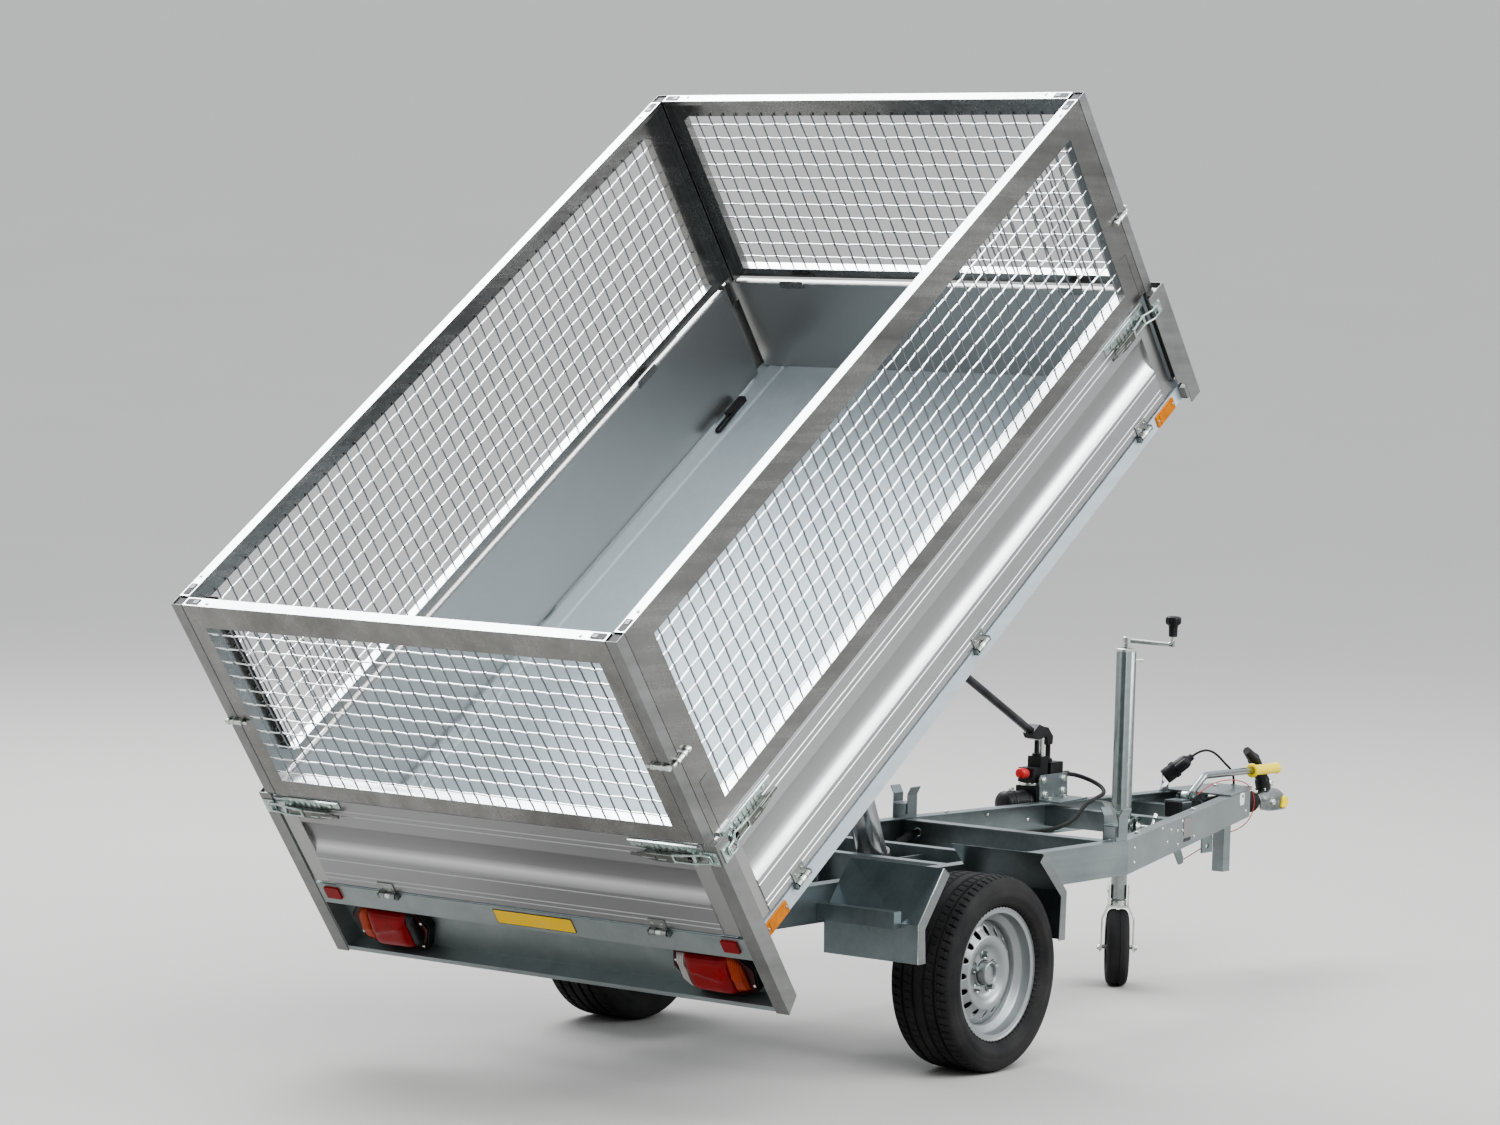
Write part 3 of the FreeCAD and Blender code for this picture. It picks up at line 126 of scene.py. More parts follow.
def barAlong(path, radius, sides=12, closed=False, caps=True, up=(0, 0, 1), flat=1.0):
    # a circle, or an ellipse by flat, carried along the path at right angles to its tangent
    path = np.asarray(path, float)
    if closed:
        tangent = np.roll(path, -1, 0) - np.roll(path, 1, 0)
    else:
        tangent = np.gradient(path, axis=0)
    tangent /= np.linalg.norm(tangent, axis=1)[:, None]
    side = np.cross(tangent, np.asarray(up, float))
    side /= np.linalg.norm(side, axis=1)[:, None]
    top = np.cross(side, tangent)
    t = np.linspace(0, 2 * np.pi, sides, endpoint=False)
    radius = np.broadcast_to(np.asarray(radius, float), (len(path),))[:, None, None]
    ring = np.cos(t)[None, :, None] * side[:, None] + flat * np.sin(t)[None, :, None] * top[:, None]
    return gridSurface(path[:, None] + radius * ring, closeU=closed, closeV=True, capU=caps and not closed)


def slab(outline, start, depth, across=1):
    # an outline in the two other axes, drawn out along the axis named by across
    outline = np.asarray(outline, float)
    n = len(outline)
    axes = [i for i in range(3) if i != across]
    p = np.zeros((2, n, 3))
    p[:, :, axes[0]], p[:, :, axes[1]] = outline[:, 0], outline[:, 1]
    p[0, :, across], p[1, :, across] = start, start + depth
    return gridSurface(p, closeV=True, capU=True)


def block(x0, x1, y0, y1, z0, z1):
    # a box between two corners
    return slab([(x0, z0), (x1, z0), (x1, z1), (x0, z1)], y0, y1 - y0)


def cornerArcs(p, before, after, radius, steps):
    # at each corner p an arc from a to b on its two sides: (1 - t)^2 a + 2 t (1 - t) p + t^2 b
    lb, la = np.linalg.norm(before, axis=1), np.linalg.norm(after, axis=1)
    before, after = before / lb[:, None], after / la[:, None]
    half = 0.5 * np.arccos(np.clip((before * after).sum(1), -1, 1))
    cutBack = np.minimum(radius / np.tan(half), 0.49 * np.minimum(lb, la))[:, None]
    t = np.linspace(0, 1, steps + 1)[None, :, None]
    a, b = (p + before * cutBack)[:, None], (p + after * cutBack)[:, None]
    return ((1 - t) ** 2 * a + 2 * t * (1 - t) * p[:, None] + t ** 2 * b).reshape(-1, p.shape[1])


def rounded(outline, radius, steps=5):
    # a closed outline whose corners are rounded
    p = np.asarray(outline, float)
    return cornerArcs(p, np.roll(p, 1, 0) - p, np.roll(p, -1, 0) - p, radius, steps)


def bentPath(points, radius, steps=8):
    # a polyline whose inner corners are rounded
    p = np.asarray(points, float)
    inner = p[1:-1]
    arcs = cornerArcs(inner, p[:-2] - inner, p[2:] - inner, radius, steps)
    return np.vstack([p[:1], arcs, p[-1:]])


def roundPlate(x0, x1, z0, z1, radius, steps, start, depth, across=1):
    # a rectangle with round corners, drawn out like a slab
    return slab(rounded([(x0, z0), (x1, z0), (x1, z1), (x0, z1)], radius, steps), start, depth, across)


def cylinder(radius, s0, s1, centre, axis, steps):
    # round bar between two distances along its axis
    return turned([(0, s0), (radius, s0), (radius, s1), (0, s1)], centre, axis, steps)


def hexHead(centre, axis, across, height):
    # bolt head: six flats with a chamfered top and a washer below
    r = across / math.sqrt(3)
    head = turned([(0, 0), (r, 0), (r, height * 0.85), (r * 0.86, height), (0, height)], centre, axis, 6)
    washer = cylinder(r * 1.3, 0, height * 0.22, centre, axis, 20)
    return [washer, head]


def domeHead(centre, axis, radius, height):
    # round head: part of an ellipse turned round its axis
    t = np.linspace(0, np.pi / 2, 6)
    profile = np.stack([radius * np.cos(t), height * np.sin(t)], 1)
    return turned(np.vstack([[0, 0], profile]), centre, axis, 16)


# Pieces

def linked(name, data):
    # an object with this data, in the scene
    made = bpy.data.objects.new(name, data)
    bpy.context.scene.collection.objects.link(made)
    return made


def roundEdges(piece, width, angle):
    # a small round on every edge sharper than the angle; width in millimetres
    edge = piece.modifiers.new("Edges", "BEVEL")
    edge.width = width * 0.001
    edge.segments = 2
    edge.limit_method = "ANGLE"
    edge.angle_limit = math.radians(angle)
    return edge


def makePiece(name, groups, place, body, slot=None, replaces=(), bevel=0.0, angle=35, wall=0.0):
    # groups pairs each finish with its surfaces; place takes the points to the frame
    points, faces, kinds, count = [], [], [], 0
    mesh = bpy.data.meshes.new(name)
    for kind, (finish, surfaces) in enumerate(groups):
        mesh.materials.append(finish)
        for p, f in surfaces:
            points.append(p)
            faces += [[i + count for i in face] for face in f]
            kinds += [kind] * len(f)
            count += len(p)
    mesh.from_pydata(place(np.vstack(points)).tolist(), [], faces)
    mesh.polygons.foreach_set("material_index", kinds)
    bm = bmesh.new()
    bm.from_mesh(mesh)
    bmesh.ops.remove_doubles(bm, verts=bm.verts, dist=1e-6)
    bmesh.ops.recalc_face_normals(bm, faces=bm.faces)
    bm.to_mesh(mesh)
    bm.free()
    mesh.shade_smooth()
    mesh.set_sharp_from_angle(angle=math.radians(angle))
    piece = linked(name, mesh)
    if wall:
        shell = piece.modifiers.new("Wall", "SOLIDIFY")
        shell.thickness = wall * 0.001
        shell.offset = -1
    if bevel:
        roundEdges(piece, bevel, angle)
    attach(piece, body)
    if replaces:
        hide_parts(*replaces)
    return piece


def bedPiece(name, groups, slot=None, replaces=(), **edges):
    return makePiece(name, groups, onBed, "bed", slot, replaces, **edges)


def chassisPiece(name, groups, slot=None, replaces=(), **edges):
    return makePiece(name, groups, onChassis, "chassis", slot, replaces, **edges)


# Finishes

def fillStops(ramp, stops):
    # stops pairs each place on the ramp, from 0 to 1, with its colour
    made = ramp.color_ramp.elements
    while len(made) < len(stops):
        made.new(0.5)
    for stop, (place, colour) in zip(made, stops):
        stop.position = place
        stop.color = (*colour, 1.0)


class Val:
    # a shader value; arithmetic on it adds Math nodes
    def __init__(self, finish, socket):
        self.finish, self.socket = finish, socket

    def op(self, kind, a, b=0.0):
        return self.finish.node("ShaderNodeMath", {"operation": kind}, {0: a, 1: b})

    def __add__(self, other):
        return self.op("ADD", self, other)

    def __radd__(self, other):
        return self.op("ADD", other, self)

    def __sub__(self, other):
        return self.op("SUBTRACT", self, other)

    def __rsub__(self, other):
        return self.op("SUBTRACT", other, self)

    def __mul__(self, other):
        return self.op("MULTIPLY", self, other)

    def __rmul__(self, other):
        return self.op("MULTIPLY", other, self)

    def __pow__(self, other):
        return self.op("POWER", self, other)


class Finish:
    def __init__(self, name):
        self.material = bpy.data.materials.new(name)
        self.material.use_nodes = True
        self.tree = self.material.node_tree
        self.shader = self.tree.nodes["Principled BSDF"]

    def node(self, kind, settings, inputs, out=0):
        made = self.tree.nodes.new(kind)
        for key, value in settings.items():
            if key == "stops":
                fillStops(made, value)
            else:
                setattr(made, key, value)
        for key, value in inputs.items():
            self.feed(made.inputs[key], value)
        return Val(self, made.outputs[out])

    def feed(self, socket, value):
        if isinstance(value, Val):
            self.tree.links.new(value.socket, socket)
        elif isinstance(value, tuple) and len(value) == 3 and socket.type == "RGBA":
            socket.default_value = (*value, 1.0)
        else:
            socket.default_value = value

    def where(self, turn=0.0, scale=(1.0, 1.0, 1.0)):
        # object coordinates, turned about Y so that X runs along the bed
        spot = self.node("ShaderNodeTexCoord", {}, {}, "Object")
        turnBack = (0.0, math.radians(turn), 0.0)
        return self.node("ShaderNodeMapping", {"vector_type": "POINT"},
                         {"Vector": spot, "Rotation": turnBack, "Scale": scale})

    def noise(self, at, scale, detail=3.0, rough=0.5):
        return self.node("ShaderNodeTexNoise", {}, {"Vector": at, "Scale": scale, "Detail": detail,
                                                    "Roughness": rough})

    def cells(self, at, scale):
        colour = self.node("ShaderNodeTexVoronoi", {"feature": "F1"}, {"Vector": at, "Scale": scale}, "Color")
        return self.node("ShaderNodeSeparateColor", {}, {"Color": colour}, 0)

    def ramp(self, value, stops):
        return self.node("ShaderNodeValToRGB", {"stops": stops}, {"Fac": value})

    def span(self, value, low, high, outLow=0.0, outHigh=1.0):
        return self.node("ShaderNodeMapRange", {"clamp": True},
                         {"Value": value, "From Min": low, "From Max": high, "To Min": outLow,
                          "To Max": outHigh})

    def blend(self, share, a, b, kind="MIX"):
        return self.node("ShaderNodeMix", {"data_type": "RGBA", "blend_type": kind}, {0: share, 6: a, 7: b},
                         2)

    def bump(self, height, strength, depth):
        return self.node("ShaderNodeBump", {}, {"Height": height, "Strength": strength, "Distance": depth})

    def set(self, **values):
        names = {"colour": "Base Color", "metal": "Metallic", "rough": "Roughness", "normal": "Normal",
                 "coat": "Coat Weight", "coatRough": "Coat Roughness", "spec": "Specular IOR Level"}
        for key, value in values.items():
            self.feed(self.shader.inputs[names[key]], value)
        return self.material


def galvanisedFinish(name, turn, dark, light, rough, flakes=120.0, bump=0.12):
    # clouds of zinc with flat crystals that differ in shade and gloss
    f = Finish(name)
    at = f.where(turn)
    cloud = f.noise(at, 3.5, 4.0, 0.6)
    flake = f.cells(at, flakes)
    smear = f.noise(f.where(turn, (0.12, 1.0, 1.0)), 14.0, 3.0, 0.5)
    streak = f.noise(f.where(turn, (0.02, 1.0, 1.0)), 70.0, 3.0, 0.6)
    grain = f.noise(at, 1400.0, 2.0)
    mix = cloud * 0.5 + flake * 0.03 + smear * 0.35 + streak * 0.2
    colour = f.ramp(f.span(mix, 0.34, 0.76), [(0.0, dark), (1.0, light)])
    gloss = f.span(flake * 0.08 + smear * 0.5 + streak * 0.4, 0.2, 0.8, rough - 0.06, rough + 0.10)
    normal = f.bump(flake * 0.05 + grain * 0.05 + smear * 0.7 + streak * 0.15, bump, 0.0002)
    return f.set(colour=colour, metal=0.92, rough=gloss, normal=normal)


def sheetFinish(name, turn=0.0, tone=(0.66, 0.69, 0.70), rough=0.42):
    # plain bright sheet: very fine crystals and long faint rolling marks
    f = Finish(name)
    at = f.where(turn)
    marks = f.noise(f.where(turn, (0.06, 1.0, 1.0)), 60.0, 4.0, 0.6)
    flake = f.cells(at, 420.0)
    cloud = f.noise(at, 3.0, 3.0)
    low = tuple(0.84 * c for c in tone)
    colour = f.blend(f.span(marks * 0.5 + flake * 0.2 + cloud * 0.5, 0.35, 0.85), low, tone)
    gloss = f.span(marks * 0.6 + flake * 0.4, 0.2, 0.8, rough - 0.05, rough + 0.08)
    return f.set(colour=colour, metal=0.6, rough=gloss,
                 normal=f.bump(flake * 0.4 + marks * 0.6, 0.12, 0.0003))


def anodisedFinish(name, turn=0.0, tone=(0.60, 0.605, 0.605), across=False, foot=None):
    # satin aluminium drawn along its length; above the foot's level a painted highlight on the roll's crest
    # and at the grooves, and painted shade in the cove, follow the profile's height
    f = Finish(name)
    drawn = (1.0, 0.004, 1.0) if across else (0.004, 1.0, 1.0)
    lines = f.noise(f.where(turn, drawn), 900.0, 3.0, 0.7)
    cloud = f.noise(f.where(turn), 2.5, 3.0)
    low = tuple(0.90 * c for c in tone)
    colour = f.blend(f.span(lines * 0.5 + cloud * 0.5, 0.3, 0.7), low, tone)
    if foot is not None:
        # painted highlight and shade in bands by height on the board
        height = f.node("ShaderNodeSeparateXYZ", {}, {"Vector": f.where(turn)}, 2)
        paintedBands = f.ramp(f.span(height, foot, foot + 0.001 * bed["boardHeight"]),
                        [(h / bed["boardHeight"], (v, v, v)) for h, v in paintedProfileLight])
        colour = f.blend(1.0, colour, paintedBands, "MULTIPLY")
    gloss = f.span(lines, 0.3, 0.7, 0.30, 0.38)
    return f.set(colour=colour, metal=0.9, rough=gloss, normal=f.bump(lines, 0.06, 0.0002))


# Height on a board in millimetres, and the share of its tone there: painted highlight on the crest and at the
# grooves, painted shade in the cove
paintedProfileLight = [(100.0, 0.48), (112.0, 0.78), (122.0, 1.0), (132.0, 0.76), (147.0, 0.46), (170.0, 0.40),
                (206.0, 0.36), (208.0, 0.50)]
for groove in (20.0, 35.0, 84.0, 244.0, 260.0):
    paintedProfileLight += [(groove - 2.6, 0.50), (groove, 1.0), (groove + 2.6, 0.50)]
paintedProfileLight.sort()


def platedFinish(name, tone=(0.72, 0.74, 0.73), rough=0.22, tint=(0.62, 0.66, 0.58)):
    # bright zinc with a faint yellow and green bloom
    f = Finish(name)
    at = f.where()
    bloom = f.noise(at, 40.0, 3.0)
    fine = f.noise(at, 600.0, 2.0)
    colour = f.blend(f.span(bloom, 0.35, 0.7), tone, tint)
    return f.set(colour=colour, metal=0.95, rough=f.span(fine, 0.3, 0.7, rough, rough + 0.1),
                 normal=f.bump(fine, 0.08, 0.0002))


def paintFinish(name, tone, metal=0.0, rough=0.4, grain=300.0, depth=0.0003, strength=0.2, dust=0.12,
                coat=0.0):
    # lacquer or moulded plastic: fine orange peel, with a little dust in its clouds
    f = Finish(name)
    at = f.where()
    peel = f.noise(at, grain, 2.0)
    cloud = f.noise(at, 14.0, 4.0)
    dusty = tuple(c + dust * (0.45 - c) for c in tone)
    colour = f.blend(f.span(cloud, 0.45, 0.8), tone, dusty)
    return f.set(colour=colour, metal=metal, rough=f.span(cloud, 0.3, 0.8, rough, rough + 0.12),
                 normal=f.bump(peel, strength, depth), coat=coat,
                 spec=0.5 if metal > 0.2 or sum(tone) > 0.3 else 0.3)


def rubberFinish(name, tone=(0.012, 0.012, 0.013)):
    # matt rubber greyed by dust in fine specks
    f = Finish(name)
    at = f.where()
    speck = f.noise(at, 220.0, 4.0, 0.7)
    cloud = f.noise(at, 9.0, 3.0)
    dusty = (0.045, 0.043, 0.041)
    colour = f.blend(f.span(speck * 0.5 + cloud * 0.6, 0.45, 0.85), tone, dusty)
    return f.set(colour=colour, rough=f.span(speck, 0.3, 0.7, 0.62, 0.8), normal=f.bump(speck, 0.3, 0.0004),
                 spec=0.25)


def lensFinish(name, tone, ribs=420.0):
    # clear coloured plastic with moulded prisms behind a smooth face
    f = Finish(name)
    at = f.where(bed["tip"])
    prism = f.node("ShaderNodeTexWave", {"wave_type": "BANDS", "bands_direction": "Y"},
                   {"Vector": at, "Scale": ribs / 6.28, "Distortion": 0.0})
    cloud = f.noise(at, 30.0, 2.0)
    deep = tuple(0.45 * c for c in tone)
    colour = f.blend(f.span(prism * 0.6 + cloud * 0.5, 0.3, 0.8), deep, tone)
    return f.set(colour=colour, rough=0.3, normal=f.bump(prism, 0.15, 0.0004), coat=0.15, coatRough=0.08,
                 spec=0.2)


tip = bed["tip"]
# the rim copy of the rail zinc is brighter as painted sky light on faces that look up
railBed = galvanisedFinish("rail zinc on bed", tip, (0.17, 0.168, 0.162), (0.34, 0.337, 0.328), 0.24)
paintedLitRim = galvanisedFinish("rim zinc on bed, painted sky light", tip, (0.70, 0.72, 0.73), (0.84, 0.86, 0.87), 0.26, bump=0.1)
postBed = galvanisedFinish("post zinc on bed", tip, (0.18, 0.183, 0.178), (0.33, 0.334, 0.328), 0.40)
underZinc = galvanisedFinish("under rail zinc", tip, (0.13, 0.15, 0.15), (0.23, 0.25, 0.252), 0.5,
                             flakes=60.0, bump=0.22)
carrierZinc = galvanisedFinish("carrier zinc", tip, (0.26, 0.295, 0.295), (0.40, 0.435, 0.435), 0.5,
                               flakes=60.0, bump=0.22)
chassisZinc = galvanisedFinish("chassis zinc", 0.0, (0.17, 0.20, 0.205), (0.32, 0.355, 0.36), 0.34,
                               flakes=80.0, bump=0.22)
guardZinc = galvanisedFinish("mudguard zinc", 0.0, (0.15, 0.18, 0.19), (0.28, 0.315, 0.325), 0.32,
                             flakes=70.0, bump=0.18)
lipZinc = galvanisedFinish("mudguard lip zinc", 0.0, (0.17, 0.185, 0.185), (0.30, 0.31, 0.31), 0.36)
floorSheet = sheetFinish("floor sheet", tip, (0.53, 0.60, 0.635), 0.5)
slope = math.radians(tip)
boardFoot = (-(0.001 * bed["pivotX"] + axleX) * math.sin(slope) + 0.001 * bed["pivotZ"] * math.cos(slope)
             + 0.001 * (bed["boardLow"] - bed["pivotZ"]))
# both board copies carry the painted profile highlight and shade; the across copy is toned lower as painted
# shade on the end boards
boardPaintedLight = anodisedFinish("board along, painted light and shade", tip, (0.88, 0.88, 0.89), foot=boardFoot)
boardPaintedLightAcross = anodisedFinish("board across, painted light and shade", tip, (0.66, 0.66, 0.67), across=True, foot=boardFoot)
boardPlain = anodisedFinish("board plain", tip, (0.40, 0.40, 0.395))
# the along wires' zinc is a painted lit copy, the upright wires' a painted shade copy of the same zinc
paintedLitWire = galvanisedFinish("wire zinc", tip, (0.74, 0.77, 0.78), (0.92, 0.94, 0.95), 0.18, bump=0.1)
paintedShadeWire = galvanisedFinish("upright wire zinc, painted shade", tip, (0.16, 0.17, 0.18), (0.28, 0.29, 0.30), 0.3, bump=0.1)
brightZinc = platedFinish("bright zinc")
clipZinc = platedFinish("clip zinc", (0.34, 0.35, 0.34), 0.26, (0.24, 0.25, 0.23))
leverZinc = platedFinish("lever zinc", (0.20, 0.20, 0.19), 0.20, (0.13, 0.13, 0.12))
tubeZinc = platedFinish("tube zinc", (0.34, 0.37, 0.37), 0.18, (0.28, 0.31, 0.30))
rimPaint = paintFinish("rim silver", (0.33, 0.345, 0.35), 0.8, 0.34, 500.0, 0.0001, 0.05, 0.0, 0.05)
drumIron = paintFinish("drum iron", (0.03, 0.03, 0.03), 0.5, 0.6, 120.0, 0.0006, 0.4)
blackPlastic = paintFinish("black plastic", (0.009, 0.009, 0.010), 0.0, 0.38, 260.0, dust=0.05)
blackRubber = rubberFinish("black rubber")
tyreRubber = rubberFinish("tyre rubber", (0.010, 0.010, 0.011))
blackSteel = paintFinish("black steel", (0.010, 0.010, 0.011), 0.1, 0.34, 90.0, 0.0006, 0.35, dust=0.05)
greySteel = paintFinish("dark tube", (0.045, 0.045, 0.048), 0.6, 0.34)
redPlastic = paintFinish("red plastic", (0.50, 0.012, 0.010), 0.0, 0.32)
redCable = paintFinish("red cable", (0.45, 0.03, 0.02), 0.0, 0.35)
yellowPlastic = paintFinish("yellow plastic", (0.80, 0.62, 0.02), 0.0, 0.38)
amberLens = lensFinish("amber lens", (0.85, 0.27, 0.005))
redLens = lensFinish("red lens", (0.30, 0.002, 0.003))
clearLens = lensFinish("clear lens", (0.50, 0.46, 0.44))
chromeRod = platedFinish("ground rod", (0.42, 0.43, 0.44), 0.18, (0.40, 0.41, 0.42))
labelWhite = paintFinish("blank label", (0.72, 0.73, 0.73), 0.0, 0.4)
headZinc = platedFinish("head zinc", (0.30, 0.32, 0.32), 0.20, (0.22, 0.24, 0.23))
latchZinc = platedFinish("latch zinc", (0.56, 0.62, 0.61), 0.20, (0.40, 0.48, 0.44))
greyPlastic = paintFinish("grey slot", (0.34, 0.38, 0.39), 0.2, 0.4)
# dark fold lines, and painted shade under the latch ribs and round the wheel nuts and hub cap
foldLineAndPaintedShade = paintFinish("fold line and painted shade", (0.05, 0.05, 0.05), 0.5, 0.5)
darkRedLens = lensFinish("dark red rim", (0.045, 0.002, 0.002))
orangeLens = lensFinish("orange lens", (0.40, 0.045, 0.004))
plateYellow = paintFinish("plate yellow", (0.80, 0.50, 0.01), 0.0, 0.35)
plateGrey = paintFinish("plate grey", (0.22, 0.205, 0.195), 0.3, 0.5)
hubPlastic = paintFinish("hub plastic", (0.12, 0.11, 0.105), 0.0, 0.5)
maroonPlastic = paintFinish("plug socket", (0.10, 0.02, 0.02), 0.0, 0.4)

cadFinishes = [
    (chassisZinc, "beam_left beam_right cross_members axle overrun_housing pump_bracket"),
    (guardZinc, "mudguards_left mudguards_right"), (underZinc, "bed_underframe"),
    (carrierZinc, "light_carrier"), (postBed, "corner_posts mesh_posts"), (paintedLitWire, "mesh_wires"),
    (floorSheet, "bed_floor"),
    (railBed, "mesh_frame_left mesh_frame_right mesh_frame_front mesh_frame_rear"),
    (boardPaintedLight, "board_left board_right tailgate headboard"),
    (brightZinc, "latches_left latches_right latches_tailgate jockey_fork"),
    (tubeZinc, "coupling_head handbrake_lever jockey_outer jockey_leg"), (tyreRubber, "tyre_left tyre_right"),
    (rimPaint, "rim_left rim_right"), (drumIron, "drum_left drum_right"),
    (blackPlastic, "rim_caps jockey_knob jockey_hub coupling_handle lamp_bases plug"),
    (blackRubber, "bellows jockey_tyre plug_lead pump_hose"), (blackSteel, "pump_body ram_barrel"),
    (greySteel, "pump_lever"), (yellowPlastic, "handbrake_grip"), (redPlastic, "pump_valve"),
    (redLens, "lamp_lenses"), (redCable, "breakaway_cable"), (amberLens, "reflectors_amber"),
    (chromeRod, "ram_stage_1 ram_stage_2 ram_stage_3 ram_stage_4"),
]
cadFinish = {name: finish for finish, names in cadFinishes for name in names.split()}
sharpNodes = {"bed_floor": 0.4, "mesh_wires": 0.0, "pump_body": 2.5}
for name, node in nodes.items():
    node.data.materials.clear()
    node.data.materials.append(cadFinish[name])
    width = sharpNodes.get(name, 0.6)
    if width:
        weld = node.modifiers.new("Weld", "WELD")
        weld.merge_threshold = 2e-5
        roundEdges(node, width, 40).harden_normals = True
    if name.startswith("mesh_frame"):
        # faces that look up from the bed are the rims and ledges, given a brighter copy of the zinc as a
        # painted sky highlight
        count = len(node.data.polygons)
        normals = np.zeros(count * 3)
        node.data.polygons.foreach_get("normal", normals)
        tilt = math.radians(tip)
        up = normals.reshape(-1, 3) @ np.array([-math.sin(tilt), 0.0, math.cos(tilt)])
        node.data.materials.append(paintedLitRim)
        node.data.polygons.foreach_set("material_index", (up > 0.9).astype(int))
print("finishes done")


# Woven mesh

weave = {"pitch": 45.0, "radius": 2.3, "behind": 2.0, "under": 8.0, "crimp": 6.0, "sides": 6}


def centred(span, pitch):
    # as many places as fit, centred on the span
    count = int(span / pitch)
    return (span - (count - 1) * pitch) / 2 + pitch * np.arange(count)


def crimped(start, end, crossings, turn):
    # places along a wire, and its height there: a short bell at each crossing, up and down in turn
    c = weave["crimp"]
    offsets = c * np.array([-1.6, -0.9, -0.35, 0.35, 0.9, 1.6])
    x = np.concatenate([[start, end], (crossings[:, None] + offsets).ravel()])
    x = np.sort(x[(x >= start) & (x <= end)])
    near = np.abs(x[:, None] - crossings).argmin(1)
    bell = np.exp(-((x - crossings[near]) / c) ** 2)
    return x, weave["radius"] * bell * np.where((near + turn) % 2, -1.0, 1.0)


def crimpedWires(length, height, stile, z0):
    # straight wires in two directions that pass over and under each other
    w = weave
    across, up = centred(length - 2 * stile, w["pitch"]) + stile, centred(height, w["pitch"]) + z0
    mid = w["behind"] + 2 * w["radius"] + 0.2
    tubes, uprights = [], []
    for j, z in enumerate(up):
        x, y = crimped(stile - w["under"], length - stile + w["under"], across, j)
        tubes.append(barAlong(np.stack([x, mid + y, np.full_like(x, z)], 1), w["radius"], w["sides"]))
    for i, x in enumerate(across):
        z, y = crimped(z0 - w["under"], z0 + height + w["under"], up, i)
        uprights.append(barAlong(np.stack([np.full_like(z, x), mid - y, z], 1), w["radius"], w["sides"],
                                 up=(1, 0, 0)))
    return tubes, uprights


def placeOn(origin, along, out):
    # local X and Y run along the two directions from the origin, Z stays
    m = np.array([along, out, (0, 0, 1)], float)
    return lambda p: p @ m + np.asarray(origin, float)


def thenBed(place):
    # a place on the level bed, then turned up with it
    return lambda p: onBed(place(p))


sideRightPlace = placeOn((bed["rear"] + bed["corner"], -bed["half"], 0), (1, 0, 0), (0, 1, 0))
sideLeftPlace = placeOn((bed["rear"] + bed["corner"], bed["half"], 0), (1, 0, 0), (0, -1, 0))
rearPlace = placeOn((bed["rear"], bed["half"] - bed["corner"], 0), (0, -1, 0), (1, 0, 0))
frontPlace = placeOn((bedFront, bed["corner"] - bed["half"], 0), (0, 1, 0), (-1, 0, 0))
sideFrame = bed["length"] - 2 * bed["corner"]
endFrame = 2 * (bed["half"] - bed["corner"])
meshPanels = [("Right", sideRightPlace, sideFrame, bed["stileSide"]),
              ("Left", sideLeftPlace, sideFrame, bed["stileSide"]),
              ("Rear", rearPlace, endFrame, bed["stileEnd"]),
              ("Front", frontPlace, endFrame, bed["stileEnd"])]
for name, panelPlace, length, stile in meshPanels:
    wires, uprights = crimpedWires(length, bed["openHeight"], stile, bed["openLow"])
    # along wires in the painted lit zinc, uprights in the painted shade copy
    makePiece("wovenMesh" + name, [(paintedLitWire, wires), (paintedShadeWire, uprights)], thenBed(panelPlace), "bed",
              "galvanised", ["mesh_wires"], angle=60)
print("woven mesh done")


# Dropside boards

board = {"height": bed["boardHeight"], "low": bed["boardLow"], "inner": 700.0, "depth": 28.0, "band": 25.0,
         "valley": 15.0, "roll": (97.0, 147.0), "cove": (150.0, 207.0), "plate": 52.0, "plateDepth": 25.6,
         "grooves": (20.0, 35.0, 84.0, 244.0, 260.0), "grooveHalf": 1.5, "grooveDepth": 1.4, "edge": 2.0,
         "endHalf": 703.0, "sideIn": 52.0, "sideOut": 70.0, "headLow": 633.3}
clip = {"down": 12.0, "out": 8.0, "curl": 8.0, "side": 190.0, "end": 255.0}


def eased(t):
    # t^2 (3 - 2 t), level at both ends
    t = np.clip(t, 0, 1)
    return t * t * (3 - 2 * t)


def boardFace(h):
    # thickness at height h: full at the foot, a parabola in to the valley, a quarter ellipse out to the
    # lip of the upper band, less V grooves and a round top and bottom edge
    b = board
    t = np.clip((h - b["roll"][0]) / (b["roll"][1] - b["roll"][0]), 0, 1)
    y = b["valley"] + (b["depth"] - b["valley"]) * (1 - t) ** 2
    t = np.clip((h - b["cove"][0]) / (b["cove"][1] - b["cove"][0]), 0, 1)
    y += (b["band"] - b["valley"]) * (1 - np.sqrt(1 - t ** 2))
    for g in b["grooves"]:
        y -= b["grooveDepth"] * np.clip(1 - np.abs(h - g) / b["grooveHalf"], 0, 1)
    e = np.clip(b["edge"] - np.minimum(h, b["height"] - h), 0, b["edge"])
    return y - (b["edge"] - np.sqrt(b["edge"] ** 2 - e ** 2))


